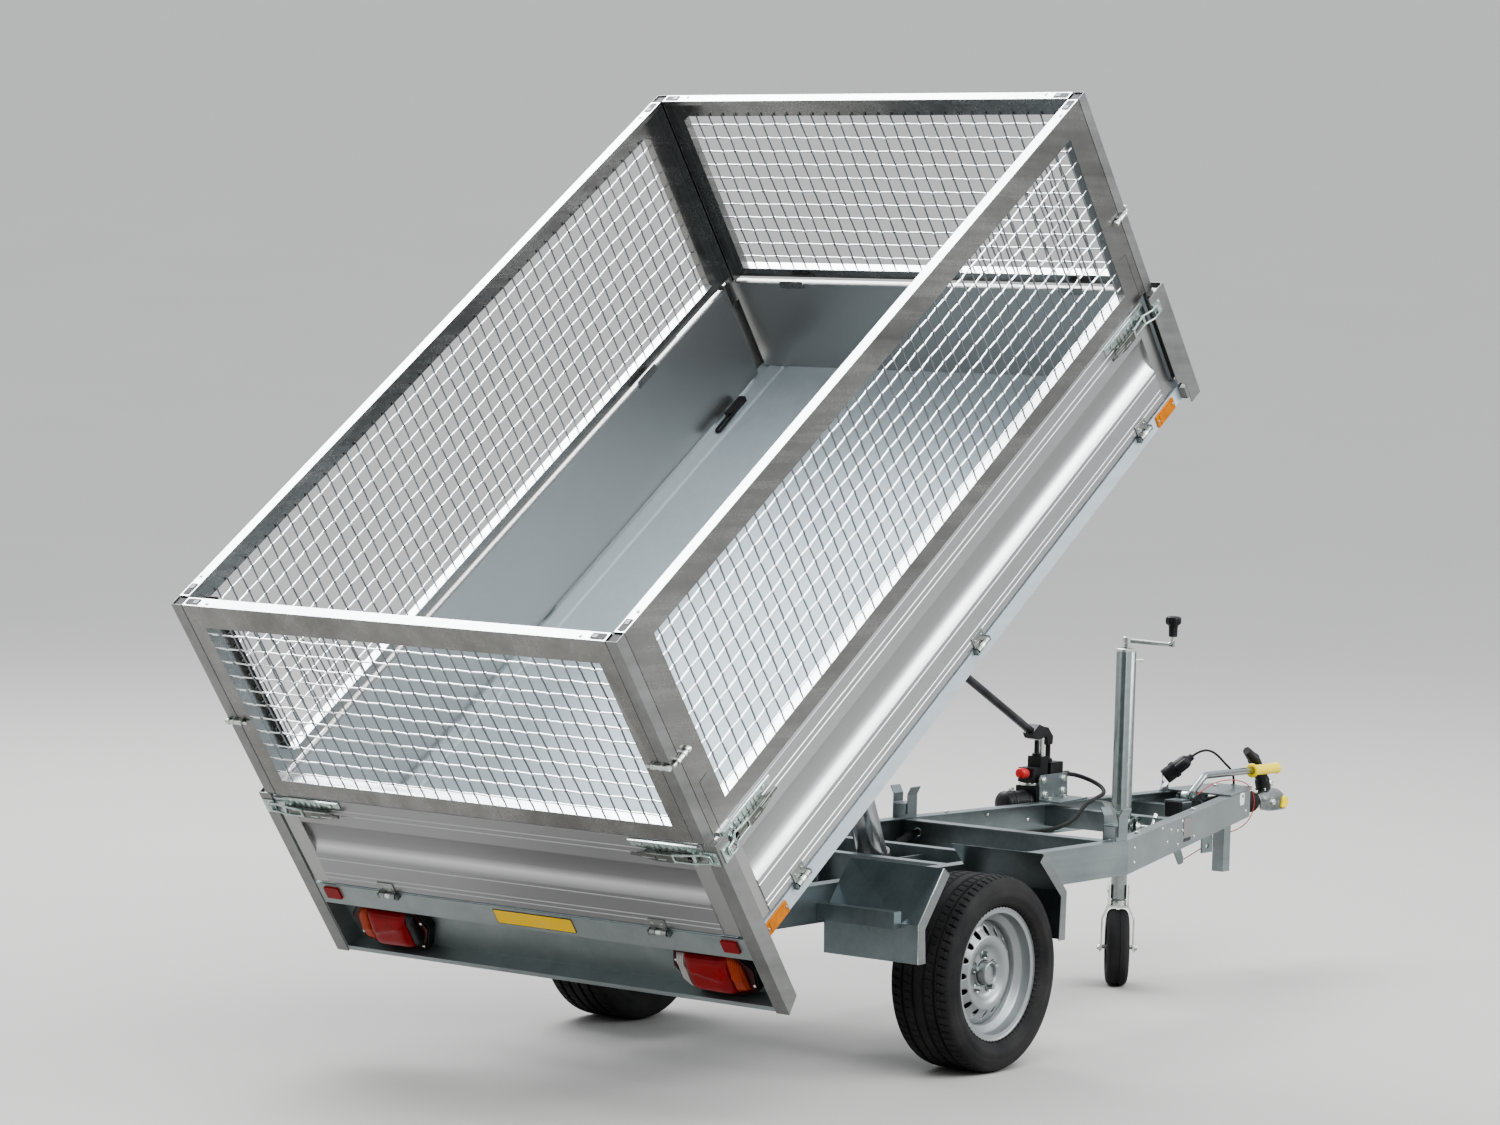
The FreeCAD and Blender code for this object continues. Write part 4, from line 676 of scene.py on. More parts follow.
def boardSurfaces(length):
    # the profile drawn along X between two flat end plates; inner side on Y = 0
    b = board
    h = [np.linspace(0, b["edge"], 4), np.linspace(b["edge"], b["height"] - b["edge"], 70),
         np.linspace(b["height"] - b["edge"], b["height"], 4)]
    h += [np.array([g - b["grooveHalf"], g, g + b["grooveHalf"]]) for g in b["grooves"]]
    h += [np.linspace(b["cove"][1] - 8, b["cove"][1], 9), np.linspace(b["roll"][0], b["roll"][0] + 12, 6)]
    h = np.unique(np.concatenate(h))
    x = np.array([b["plate"], length - b["plate"]])
    outer = np.stack(np.broadcast_arrays(x[:, None], boardFace(h)[None], h[None]), -1)
    inner = np.stack(np.broadcast_arrays(x[:, None], np.zeros(2)[None], np.array([b["height"], 0.0])[None]),
                     -1)
    p, faces = gridSurface(np.concatenate([outer, inner], 1), closeV=True, capU=True)
    count = len(h) - 1
    plates = [(p, faces[count:])]
    for x0, x1 in ((0.0, b["plate"] + 0.6), (length - b["plate"] - 0.6, length)):
        outline = rounded([(0, 0), (b["plateDepth"], 0), (b["plateDepth"], b["height"]), (0, b["height"])],
                          1.5, 3)
        plates.append(slab(outline, x0, x1 - x0, 0))
    return [(p, faces[:count])], plates


def clipSurfaces(x):
    # hinge clip under a board: leaf, curled hook, bright barrel and its pin
    y, z = board["depth"] + clip["out"], -clip["down"]
    t = np.linspace(math.radians(125), math.radians(-150), 22)
    outer = np.stack([y + clip["curl"] * np.cos(t), z + clip["curl"] * np.sin(t)], 1)
    inner = np.stack([y + (clip["curl"] - 2.6) * np.cos(t), z + (clip["curl"] - 2.6) * np.sin(t)], 1)
    hook = [slab(np.vstack([outer, inner[::-1]]), x0, 17.0, 0) for x0 in (x - 26, x + 9)]
    leaf = roundPlate(board["depth"], board["depth"] + 3, -4, 26, 0.8, 2, x - 26, 52.0, 0)
    arm = [slab([(board["depth"], -3), (board["depth"] + 2.8, -3), (y - 2.4, z + 8.2), (y - 5.4, z + 6.6)],
                x0, 17.0, 0) for x0 in (x - 26, x + 9)]
    rivets = [domeHead((x + dx, board["depth"] + 3, 11), (0, 1, 0), 5, 2.6) for dx in (-15, 15)]
    barrel = turned([(0, -8.5), (6.6, -8.5), (7.2, -7.6), (7.2, 7.6), (6.6, 8.5), (0, 8.5)], (x, y, z),
                    (1, 0, 0), 20)
    return hook + [leaf] + arm + rivets, [barrel]


sideStart = bed["rear"] + board["sideIn"]
sideLength = bedFront - board["sideOut"] - sideStart
endLength = 2 * board["endHalf"]


leftBoardPlace = placeOn((sideStart, board["inner"], board["low"]), (1, 0, 0), (0, 1, 0))
rightBoardPlace = placeOn((sideStart, -board["inner"], board["low"]), (1, 0, 0), (0, -1, 0))
tailgatePlace = placeOn((bed["rear"] + board["depth"] + 1, -board["endHalf"], board["low"]), (0, 1, 0),
                        (-1, 0, 0))
headboardPlace = placeOn((bedFront - board["depth"] + 2, board["endHalf"], board["headLow"]), (0, -1, 0),
                         (1, 0, 0))
sideClips = (clip["side"], sideLength / 2, sideLength - clip["side"])
endClips = (clip["end"], endLength - clip["end"])
boardPieces = [("boardLeftPanel", leftBoardPlace, sideLength, sideClips, "board_left_body", "board_left"),
               ("boardRightPanel", rightBoardPlace, sideLength, sideClips, "board_right_body", "board_right"),
               ("tailgatePanel", tailgatePlace, endLength, endClips, "tailgate_body", "tailgate"),
               ("headboardPanel", headboardPlace, endLength, (), "bed", "headboard")]
for name, boardPlace, length, clips, body, node in boardPieces:
    skin, plates = boardSurfaces(length)
    metal, barrels = [], []
    for x in clips:
        parts = clipSurfaces(x)
        metal += parts[0]
        barrels += parts[1]
    # side boards take the lighter painted copy, end boards the darker painted shade copy
    groups = [(boardPaintedLight if "board" in name[:5] else boardPaintedLightAcross, skin), (boardPlain, plates)]
    if clips:
        groups += [(clipZinc, metal), (brightZinc, barrels)]
    makePiece(name, groups, thenBed(boardPlace), body, "board", [node], angle=30)
print("boards done")


# Latches: base plate and lever on the board, catch on the post

latch = {"high": 291.0, "long": 226.0, "post": {"side": 50.0, "end": 29.0}}


def latchSurfaces(post):
    # drawn on a board that ends at X = 0; the hook reaches over the post on a bent wire
    y = board["band"] + 0.3
    a = latch
    base = slab(rounded([(6, 258), (6, a["high"]), (a["long"], a["high"]), (a["long"], 270), (168, 266),
                         (128, 257), (70, 257), (40, 262), (24, 258)], 3, 3), y, 2.6)
    rims = [roundPlate(6, a["long"], a["high"] - 2.6, a["high"], 0.8, 2, y, 8.5)]
    rims += [roundPlate(x, x + 9, 266, 285, 3, 3, y + 2, 2.6)
             for x in (56, 76, 96, 116, 136, 150)]
    screws = []
    for x, z in ((42, 275), (194, 279)):
        screws += hexHead((x, y + 2.6, z), (0, 1, 0), 11, 4.5)
    lever = [slab(rounded([(48, 238), (150, 237), (207, 247), (214, 255), (180, 264), (48, 264)], 3, 3),
                  y + 11.5, 2.4), roundPlate(48, 180, 262, 264.4, 0.6, 2, y + 3, 9.5),
             slab(rounded([(48, 236), (150, 235), (150, 237.4), (48, 238.4)], 0.6, 2), y + 3, 9.5)]
    rims += [roundPlate(x0, x1, z0, z0 + 3.6, 1.2, 2, y + 13.9, 0.5)
             for x0, x1, z0 in ((119, 144, 242), (154, 193, 244))]
    rims.append(roundPlate(60, 176, 258.5, 261, 1.0, 2, y + 13.9, 0.5))
    tip = barAlong(bentPath([(150, y + 12, 250), (196, y + 13, 252), (222, y + 17, 256)], 10), 3.4, 10,
                   up=(0, 0, 1), flat=1.5)
    pin = turned([(0, -14), (5.5, -14), (6, -13), (6, 13), (5.5, 14), (0, 14)], (30, y + 9, 250), (0, 0, 1),
                 18)
    wire = [(92, y + 15, 243), (34, y + 15.5, 243), (6, post + 6.5, 243), (-22, post + 6.5, 245),
            (-22, post + 6.5, 267), (6, post + 6.5, 269), (34, y + 15.5, 269), (92, y + 15, 262)]
    hook = barAlong(bentPath(wire, 7), 3.0, 10, up=(0, 1, 0))
    cross = barAlong(np.array([(92, y + 15, 240), (92, y + 15, 252), (92, y + 15, 265)], float), 3.4, 10,
                     up=(0, 1, 0))
    # dark strips under the lever's ribs and beside its cross bar: painted shadow
    line = [slab([(x0, z0), (x1, z0), (x1, z1), (x0, z1)], y + 13.9, 0.35)
            for x0, x1, z0, z1 in ((88, 91, 238, 264), (119, 144, 240.4, 241.6), (154, 193, 242.4, 243.6))]
    return [base, hook, cross, pin] + rims + screws, lever + [tip], line


def catchSurfaces(post):
    # plate on the post with a bent lip and two rivets
    plate = roundPlate(-42, -5, 236, 278, 4, 3, post + 0.3, 2.6)
    lip = slab([(-19, post + 1), (-14, post + 1), (-14, post + 9), (-21, post + 13.5), (-24, post + 12.5),
                (-19, post + 8)], 248, 17, 2)
    heads = [domeHead((-34, post + 2.9, z), (0, 1, 0), 4.5, 2.4) for z in (244, 270)]
    return [plate, lip] + heads


def mirrored(surfaces, length):
    # the other end of a board
    return [(p * np.array([-1, 1, 1]) + np.array([length, 0, 0]), f) for p, f in surfaces]


catches = []
for name, boardPlace, length, node in (("latchesLeft", leftBoardPlace, sideLength, "latches_left"),
                                       ("latchesRight", rightBoardPlace, sideLength, "latches_right"),
                                       ("latchesTailgate", tailgatePlace, endLength, "latches_tailgate")):
    post = latch["post"]["end" if "Tail" in name else "side"]
    bright, dull, line = latchSurfaces(post)
    body = {"latches_left": "board_left_body", "latches_right": "board_right_body"}.get(node, "tailgate_body")
    groups = [(latchZinc, bright + mirrored(bright, length)), (leverZinc, dull + mirrored(dull, length)),
              (foldLineAndPaintedShade, line + mirrored(line, length))]
    makePiece(name, groups, thenBed(boardPlace), body, "zinc", [node], angle=30)
    both = catchSurfaces(post)
    catches += [(boardPlace(p), f) for p, f in both + mirrored(both, length)]
bedPiece("latchCatches", [(latchZinc, catches)], "zinc", angle=30)
print("latches done")


# Mesh extension: plugs in the rims, spring bolts, fold lines

joint = {"boltZ": 1181.0, "plug": (7.0, 50.0, 6.0, 27.0), "across": 35.0}


def springBolt():
    # barrel with two saddles, thin pin and knob, along X across the joint; outside at +Y
    pin = turned([(0, -34), (3.6, -34), (4.2, -33), (4.2, -19), (6.0, -18), (6.2, -17), (6.2, 17), (5.4, 19),
                  (5.4, 24), (7.6, 25), (8.2, 27), (8.2, 35), (7.4, 37), (0, 37)], (0, 8, 0), (1, 0, 0), 20)
    coil = [ringTurned([(6.0, s - 1.1), (7.0, s), (6.0, s + 1.1)], (0, 8, 0), (1, 0, 0),
                       16) for s in (-13, -10, -7)]
    saddles = [roundPlate(x, x + 7, -9, 9, 1, 2, 0.3, 2.4) for x in (-18, 9)]
    straps = [ringTurned([(6.3, x), (7.7, x), (7.7, x + 7), (6.3, x + 7)], (0, 8, 0), (1, 0, 0),
                         20) for x in (-18, 9)]
    return [pin] + coil + saddles + straps


def turnedTo(surfaces, origin, along, out):
    # surfaces put by placeOn, with their faces kept outward
    place = placeOn(origin, along, out)
    flip = np.cross(along, out)[2] < 0
    return [(place(p), [face[::-1] for face in f] if flip else f) for p, f in surfaces]


bolts, plugs, slots, screws, lines = [], [], [], [], []
half, rear, front = bed["half"], bed["rear"], bedFront
for s in (1, -1):
    for x, sx in ((rear, 1), (front, -1)):
        bolts += turnedTo(springBolt(), (x + sx * joint["across"], s * half, joint["boltZ"]), (sx, 0, 0),
                          (0, s, 0))
        bolts += turnedTo(springBolt(), (x, s * (half - joint["across"]), joint["boltZ"]), (0, s, 0),
                          (-sx, 0, 0))
for name, panelPlace, length, stile in meshPanels:
    x0, x1, y0, y1 = joint["plug"]
    top = rimTop + 0.2
    for ends in (0, 1):
        def put(surfaces):
            return [(panelPlace(p), f) for p, f in (mirrored(surfaces, length) if ends else surfaces)]
        plugs += put([roundPlate(x0, x1, y0, y1, 4, 3, top, 0.9, 2)])
        slots += put([roundPlate(x0 + 24, x1 - 4, y0 + 5, y1 - 5, 2, 3, top + 0.9, 0.5, 2)])
        screws += put([domeHead((x1 + 30, 12, rimTop), (0, 0, 1), 5, 2.5)])
        if stile > 50:
            lines += put([slab([(28, 929), (29.8, 929), (29.8, 1078), (61, 1080), (61, 1082), (28, 1080)],
                               -0.3, 0.45)])
bedPiece("springBolts", [(brightZinc, bolts)], "zinc", angle=35)
bedPiece("rimPlugs", [(blackPlastic, plugs), (greyPlastic, slots)], "black_plastic")
bedPiece("rimScrews", [(brightZinc, screws)], "zinc")
bedPiece("foldLines", [(foldLineAndPaintedShade, lines)], "galvanised")
print("joints done")


# Lamps, reflectors and blank plate

lamp = {"z": 474.0, "y": 536.0, "wide": 1.27, "tall": 1.14, "back": -1101.8, "base": 26.0, "dome": 32.0,
        "lens": 0.84, "cut": (-58.0, 46.0), "outline": [(-104, 4), (-84, 62), (66, 66), (104, 20), (92, -44),
                                                        (40, -66), (-70, -62)]}


def lensSurface(y0, y1, depth, low=0.0):
    # depth over a point between the outline's lower and upper edge: steep sides and a nearly flat face,
    # fuller below, with one facet ridge; columns run from y0 to y1
    line = np.linspace(y0, y1, 14)
    top = lamp["lens"] * np.interp(line, [-96, -78, 61, 96], [4, 56, 60, 18])
    foot = lamp["lens"] * np.interp(line, [-96, -65, 37, 85, 96], [4, -56, -60, -40, 18])
    y = line[:, None]
    t = np.linspace(0, 1, 17)[None]
    z = foot[:, None] + (top - foot)[:, None] * t
    edge = np.clip(np.minimum(t, 1 - t) * 3.2, 0, 1)
    ends = np.clip(np.minimum(y - y0, y1 - y) / (0.2 * (y1 - y0)), 0, 1)
    rise = depth * np.sqrt(edge * (2 - edge)) * (0.35 + 0.65 * np.sqrt(ends * (2 - ends)))
    rise = rise * (1 - 0.28 * t) + 6 * np.clip(1 - np.abs(t - 0.62 + y / 400) * 9, 0, 1) * ends * edge
    p = np.stack([-rise, y + 0 * t, z], -1)
    back = np.stack([2.0 + 0 * t + 0 * y, y + 0 * t, z], -1)[:, ::-1]
    return gridSurface(np.concatenate([p, back], 1), closeV=True, capU=True)


bases, reds, ambers, clears, heads, redPlates, deep = [], [], [], [], [], [], []
for s in (1, -1):
    def at(surfaces, s=s):
        out = []
        for p, f in surfaces:
            q = p * np.array([1, s * lamp["wide"], lamp["tall"]]) + np.array([0, s * lamp["y"], lamp["z"]])
            out.append((q, [face[::-1] for face in f] if s < 0 else f))
        return out
    back = lamp["back"]
    outline = rounded(lamp["outline"], 6, 4)
    bases += at([slab(outline, back - lamp["base"], lamp["base"] - 0.3, 0)])
    face = back - lamp["base"]
    deep += at([slab(rounded(np.array(lamp["outline"]) * 0.96, 5, 4), face - 5, 5, 0)])
    inner, outer = lamp["cut"]
    shift = np.array([face - 5, 0, 0])
    main = [lensSurface(inner, outer, lamp["dome"])]
    side = [lensSurface(-78, inner, lamp["dome"] * 0.62)]
    last = [lensSurface(outer, 76, lamp["dome"] * 0.55)]
    reds += at([(p + shift, f) for p, f in main])
    (clears if s < 0 else bases).extend(at([(p + shift, f) for p, f in side]))
    ambers += at([(p + shift, f) for p, f in last])
    for y, z in ((-88, 22), (20, 56), (88, -26), (-66, -50)):
        heads += at([domeHead((face - 5, y, z), (-1, 0, 0), 4.2, 3)])
    y0, y1 = sorted((s * 632, s * 682))
    redPlates.append(roundPlate(y0, y1, 583, 619, 2.5, 3, bed["rear"] + 1.7 - 6, 6, 0))
bedPiece("lampHousings", [(blackPlastic, bases), (darkRedLens, deep)], "black_plastic", ["lamp_bases"],
         bevel=1.2, angle=50)
bedPiece("lampLenses", [(redLens, reds + redPlates), (orangeLens, ambers), (clearLens, clears)], "red",
         ["lamp_lenses"], angle=45)
bedPiece("lampScrews", [(brightZinc, heads)], "zinc")

amber = {"x": ((bed["rear"] + 64, bed["rear"] + 162), (bedFront - 186, bedFront - 88)), "z": (588.0, 623.0),
         "y": 727.3}
plates, ambScrews = [], []
for x0, x1 in amber["x"]:
    for s in (1, -1):
        z0, z1 = amber["z"]
        y0 = s * amber["y"]
        plates.append(roundPlate(x0, x1, z0, z1, 3, 3, y0, s * 5.0))
        plates.append(roundPlate(x0 + 14, x1 - 14, z0 + 3, z1 - 3, 2, 3, y0 + s * 5.0, s * 1.2))
        ambScrews += [domeHead((x, y0 + s * 5, (z0 + z1) / 2), (0, s, 0), 4.4, 2.2) for x in (x0 + 7, x1 - 7)]
bedPiece("sideReflectors", [(amberLens, plates)], "amber", ["reflectors_amber"], bevel=0.5)
bedPiece("reflectorScrews", [(clipZinc, ambScrews)], "zinc")

carrierEnd = {"x": bed["rear"] + 2, "back": bed["rear"] + 62, "z": 393.0, "half": 706.0}
x, back, z = carrierEnd["x"], carrierEnd["back"], carrierEnd["z"]
gussets = [slab([(x, z), (back, z), (back, z + 60), (back - 10, z + 20)], s * carrierEnd["half"],
                s * 3.0) for s in (1, -1)]
bedPiece("carrierGussets", [(carrierZinc, gussets)], "galvanised")

blank = {"y": (-155.0, 101.0), "z": (574.0, 617.0), "x": bed["rear"] + 1.7}
y0, y1 = blank["y"]
z0, z1 = blank["z"]
badge = [roundPlate(y0, y1, z0, z1, 5, 4, blank["x"] - 1.2, 1.2, 0)]
border = [roundPlate(y0 - 2, y1 + 2, z0 - 2, z1 + 2, 6, 4, blank["x"] - 0.7, 0.7, 0)]
bedPiece("blankPlate", [(plateYellow, badge), (blackPlastic, border)], "yellow")
print("lamps done")


# Tie-down loops in the floor's edge, and tabs over the boards

tieDown = {"x": (842.0, 1006.0), "y": 672.0, "z": 633.2}
loops, pockets, tabs = [], [], []
for s in (1, -1):
    x0, x1 = tieDown["x"]
    y, z = s * tieDown["y"], tieDown["z"]
    pockets.append(roundPlate(x0 + 78, x1, y - 13, y + 13, 5, 3, z, 14, 2))
    loops.append(barAlong(bentPath([(x0 + 92, y, z + 8), (x0 + 8, y - s * 1, z + 5), (x0, y - s * 8, z + 5),
                                    (x0 + 4, y - s * 17, z + 5), (x0 + 92, y - s * 14, z + 8)], 9), 4.2, 10))
    x, yy, zz = bed["rear"] + 1815, s * 724, 936
    tabs.append(slab(rounded([(x, zz - 14), (x + 100, zz - 14), (x + 96, zz + 8), (x + 4, zz + 8)], 4, 3),
                     s * 698.5, s * 2.2))
    for x in (bed["rear"] + 4, bedFront - 42):
        tabs.append(block(x, x + 38, *sorted((s * 722.6, s * 748.6)), 926.2, 927.8))
    yy = s * 480
    tabs.append(slab(rounded([(yy - 44, zz - 16), (yy + 44, zz - 16), (yy + 40, zz + 6), (yy - 40, zz + 6)],
                             4, 3), bedFront - 36.5, 2.2, 0))
bedPiece("tieDowns", [(blackPlastic, pockets + loops)], "black_plastic", bevel=0.8)
bedPiece("boardTabs", [(railBed, tabs)], "galvanised")
print("bed details done")


# Wheels

wheel = {"radius": 262.5, "half": 97.5, "y": 597.0, "bead": 165.0, "face": 627.0, "rimHalf": 70.0,
         "flange": 178.5, "grooves": (-50.0, -17.0, 17.0, 50.0), "grooveHalf": 4.5, "grooveDepth": 7.0,
         "pitches": 72, "around": 504, "across": 96, "bolts": 5, "boltCircle": 49.0}


def tyreSection(s):
    # section through the tyre by cubic stretches between shoulder, side and bead; s runs from -1 to 1
    r, w = wheel["radius"], wheel["half"]
    knots = np.array([0.0, 0.40, 0.50, 0.57, 0.66, 0.78, 0.90, 1.0])
    across = np.array([0.0, 64.0, 79.0, 90.0, 96.5, 97.5, 88.0, 67.5])
    radii = np.array([r, r - 0.6, r - 3.2, r - 10.0, r - 28.0, r - 52.0, r - 74.0, 177.0])
    a = np.abs(s)
    return np.sign(s) * np.interp(a, knots, across), np.interp(a, knots, radii)


def smoothed(values, width):
    # running mean with held ends, which rounds the section's knots
    kernel = np.ones(width) / width
    padded = np.concatenate([np.full(width // 2, values[0]), values, np.full(width // 2, values[-1])])
    return np.convolve(padded, kernel, "valid")[:len(values)]


def tyreSurfaces(side):
    # tread height over angle t and place across y: ribs between straight grooves, slanted sipes in the
    # inner ribs and open slots in the shoulders
    w = wheel
    s = np.linspace(-1, 1, w["across"] * 2 + 1)
    y, r = tyreSection(s)
    y, r = smoothed(y, 5), smoothed(r, 5)
    t = np.linspace(0, 2 * np.pi, w["around"], endpoint=False)[:, None]
    tread = np.clip((84 - np.abs(y)) / 6, 0, 1)[None]
    groove = np.zeros_like(y)
    for g in w["grooves"]:
        groove = np.maximum(groove, np.clip((w["grooveHalf"] - np.abs(y - g)) / 1.5 + 0.3, 0, 1))
    phase = w["pitches"] * t / (2 * np.pi)
    slant = np.where(np.abs(y) < 17, y / 60, np.sign(y) * (np.abs(y) - 17) / 90)[None]
    saw = np.abs((phase + slant) % 1 - 0.5)
    rib = ((np.abs(y) > 22) & (np.abs(y) < 45))[None]
    shoulder = (np.abs(y) > 57)[None]
    sipe = np.where(rib, np.clip((0.09 - saw) / 0.04, 0, 1) * 3.0, 0)
    slot = np.where(shoulder, np.clip((0.13 - saw) / 0.05, 0, 1) * 5.0, 0)
    depth = (np.maximum(groove[None] * w["grooveDepth"], np.maximum(sipe, slot))) * tread
    ridge = 0.8 * np.exp(-((np.abs(y) - 96.0) / 2.5) ** 2) * (r < w["radius"] - 40)
    rr = r[None] - depth
    yy = (y + np.sign(y) * ridge)[None] + 0 * t
    p = np.stack([rr * np.cos(t), side * w["y"] + yy, w["radius"] + rr * np.sin(t)], -1)
    inner = np.array([(w["bead"] + 0.5, 69.0), (w["bead"] + 0.5, -69.0)])
    back = np.stack(np.broadcast_arrays(inner[None, :, 0] * np.cos(t),
                                        side * w["y"] + inner[None, :, 1] + 0 * t,
                                        w["radius"] + inner[None, :, 0] * np.sin(t)), -1)
    return [gridSurface(np.concatenate([p, back], 1), closeU=True, closeV=True)]


for label, side in (("Left", 1), ("Right", -1)):
    makePiece("tyreTread" + label, [(tyreRubber, tyreSurfaces(side))], onChassis, "wheel_" + label.lower(),
              "tyre", ["tyre_" + label.lower()], angle=40)


guard = {"rear": [(-300, 572), (-408, 432), (-404, 330)], "front": [(282, 330), (284, 462), (172, 572)],
         "outer": 699.0, "lip": 30.0}
paintedFoldHighlights, lips = [], []
for points in (guard["rear"], guard["front"]):
    points = np.array(points, float)
    way = np.gradient(points, axis=0)
    way /= np.linalg.norm(way, axis=1)[:, None]
    out = points + guard["lip"] * np.stack([-way[:, 1], way[:, 0]], 1)
    over = points + 2.2 * np.stack([-way[:, 1], way[:, 0]], 1)
    for s in (1, -1):
        line = np.stack([over[:, 0], np.full(len(over), s * (guard["outer"] - 3.0)), over[:, 1]], 1)
        # a bright zinc bar along each bend of the mudguard: painted highlight
        paintedFoldHighlights.append(barAlong(line, 3.0, 8, up=(0, 1, 0)))
        lips.append(slab(np.vstack([points, out[::-1]]), s * guard["outer"], s * 0.4))
caps = [block(x, x + 32, s * 640, s * 642, z, z + 44) for x, z in ((-440, 420), (284, 424)) for s in (1, -1)]
chassisPiece("mudguardLips", [(lipZinc, lips), (brightZinc, paintedFoldHighlights), (guardZinc, caps)], "galvanised",
             angle=50)


vent = {"count": 16, "radius": 113.0, "along": 8.5, "out": 12.0}


def wheelFace(side):
    # dish of the disc over radius q: flat hub ring, raised ring, cone down to the vents, edge turned in
    w = wheel
    q = np.array([30, 34, 50, 60, 66, 72, 78, 88, 94,
                  98] + list(np.linspace(99, 127, 22)) + [130, 134, 138, 141, 143.0])
    rise = np.interp(q, [30, 60, 66, 74, 80, 92, 98, 118, 128, 140, 143],
                     [0, 0, 4, 13, 17, 18.5, 17.5, 2.0, -4, -12, -18])
    rise = smoothed(rise, 3)
    n = vent["count"] * 24
    t = np.linspace(0, 2 * np.pi, n, endpoint=False)[:, None]
    x, z = q[None] * np.cos(t), q[None] * np.sin(t)
    # points near an oval vent move on to its edge
    a = np.round(t / (2 * np.pi) * vent["count"]) * 2 * np.pi / vent["count"]
    du = q[None] - vent["radius"] + 0 * t
    dv = q[None] * (t - a)
    e = np.sqrt((du / vent["out"]) ** 2 + (dv / vent["along"]) ** 2)
    near = (e > 0.78) & (e < 1.22)
    k = np.where(near, 1 / np.maximum(e, 1e-6), 1.0)
    qq = np.where(near, vent["radius"] + du * k, q[None] + 0 * t)
    tt = np.where(near, a + dv * k / qq, t + 0 * q[None])
    h = np.interp(qq, q, rise)
    p = np.stack([qq * np.cos(tt), side * (w["face"] + h), w["radius"] + qq * np.sin(tt)], -1)
    faces = gridFaces(n, len(q), True, False)
    middle = e.reshape(-1)[faces]
    inside = (middle <= 1.22).all(1) & (np.where(near.reshape(-1)[faces], 1.0, middle).max(1) <= 1.0001)
    return p.reshape(-1, 3), faces[~inside].tolist()


def rimSurfaces(side):
    # barrel as one turned wall, the disc, its weld, the seat and the hub's cap
    w = wheel
    o, b, h = w["flange"], w["bead"], w["rimHalf"]
    t = 3.0
    line = [(o, -h - 6), (o + 0.5, -h - 4), (o - 1, -h - 1.5), (o - 4, -h), (b + 3, -h), (b, -h + 3),
            (b - 1, -h + 22), (b - 4, -h + 27), (b - 19, -h + 34), (b - 22, -h + 38), (b - 22, h - 42),
            (b - 19, h - 38), (b - 4, h - 29), (b - 1, h - 24), (b, h - 3), (b + 3, h), (o - 4, h),
            (o - 1, h + 1.5), (o + 0.5, h + 4), (o, h + 6)]
    back = [(q - t, y) for q, y in reversed(line)]
    back[1:5] = [(o - 2.6, h + 4), (o - 4, h + 3), (b + 1, h + t), (b - 2, h + t - 1)]
    back[-5:-1] = [(b - 2, -h - t + 1), (b + 1, -h - t), (o - 4, -h - 3), (o - 2.6, -h - 4)]
    barrel = ringTurned(line + back, (0, side * w["y"], w["radius"]), (0, 1, 0), 128)
    c = (0, side * w["face"], w["radius"])
    out = (0, side, 0)
    weld = ringTurned([(143, -16), (146, -20), (143, -26), (140, -22)], c, out, 96)
    cap = turned([(27, -4), (31, -4), (31, 22), (30, 25), (27.5, 26), (25.5, 24), (25, 17), (12, 17.6),
                  (4, 17), (0, 17)], c, out, 48)
    seat = ringTurned([(31, 0.2), (40, 0.2), (40, 1.2), (31, 1.6)], c, out, 48)
    return [wheelFace(side)], [barrel, weld, seat], [cap]


def wheelBolts(side):
    # five cone nuts on a circle, each with a ring of painted shade round it, and a ring of painted shade
    # round the hub's cap
    c = np.array([0.0, side * wheel["face"], wheel["radius"]])
    parts = []
    dark = [ringTurned([(31, 1.7), (34.5, 1.3), (34.5, 1.9), (31, 2.4)], c, (0, side, 0), 48)]
    for i in range(wheel["bolts"]):
        a = 2 * math.pi * i / wheel["bolts"] + 0.3
        spot = c + wheel["boltCircle"] * np.array([math.cos(a), 0, math.sin(a)])
        parts.append(ringTurned([(9, 0), (14.5, 0), (13, 2.2), (9, 0.6)], spot, (0, side, 0), 24))
        parts.append(turned([(0, 0), (11, 0), (8.6, 4), (8.6, 13), (7.0, 15.5), (0, 16.5)], spot,
                            (0, side, 0), 6))
        dark.append(ringTurned([(14.5, 0.2), (17, 0.2), (17, 0.6), (14.5, 0.9)], spot, (0, side, 0), 24))
    return parts, dark


for label, side in (("Left", 1), ("Right", -1)):
    face, barrel, cap = rimSurfaces(side)
    low = label.lower()
    makePiece("rimBarrel" + label, [(rimPaint, barrel)], onChassis, "wheel_" + low, "rim", ["rim_" + low],
              angle=50)
    makePiece("rimDisc" + label, [(rimPaint, face)], onChassis, "wheel_" + low, "rim", ["rim_" + low],
              angle=50, wall=3.0)
    makePiece("hubCap" + label, [(rimPaint, cap)], onChassis, "wheel_" + low, "rim", angle=40)
    nuts, dark = wheelBolts(side)
    makePiece("wheelBolts" + label, [(tubeZinc, nuts), (foldLineAndPaintedShade, dark)], onChassis, "wheel_" + low, "zinc",
              angle=30)
print("wheels done")


# Cords, on the routes of the solids

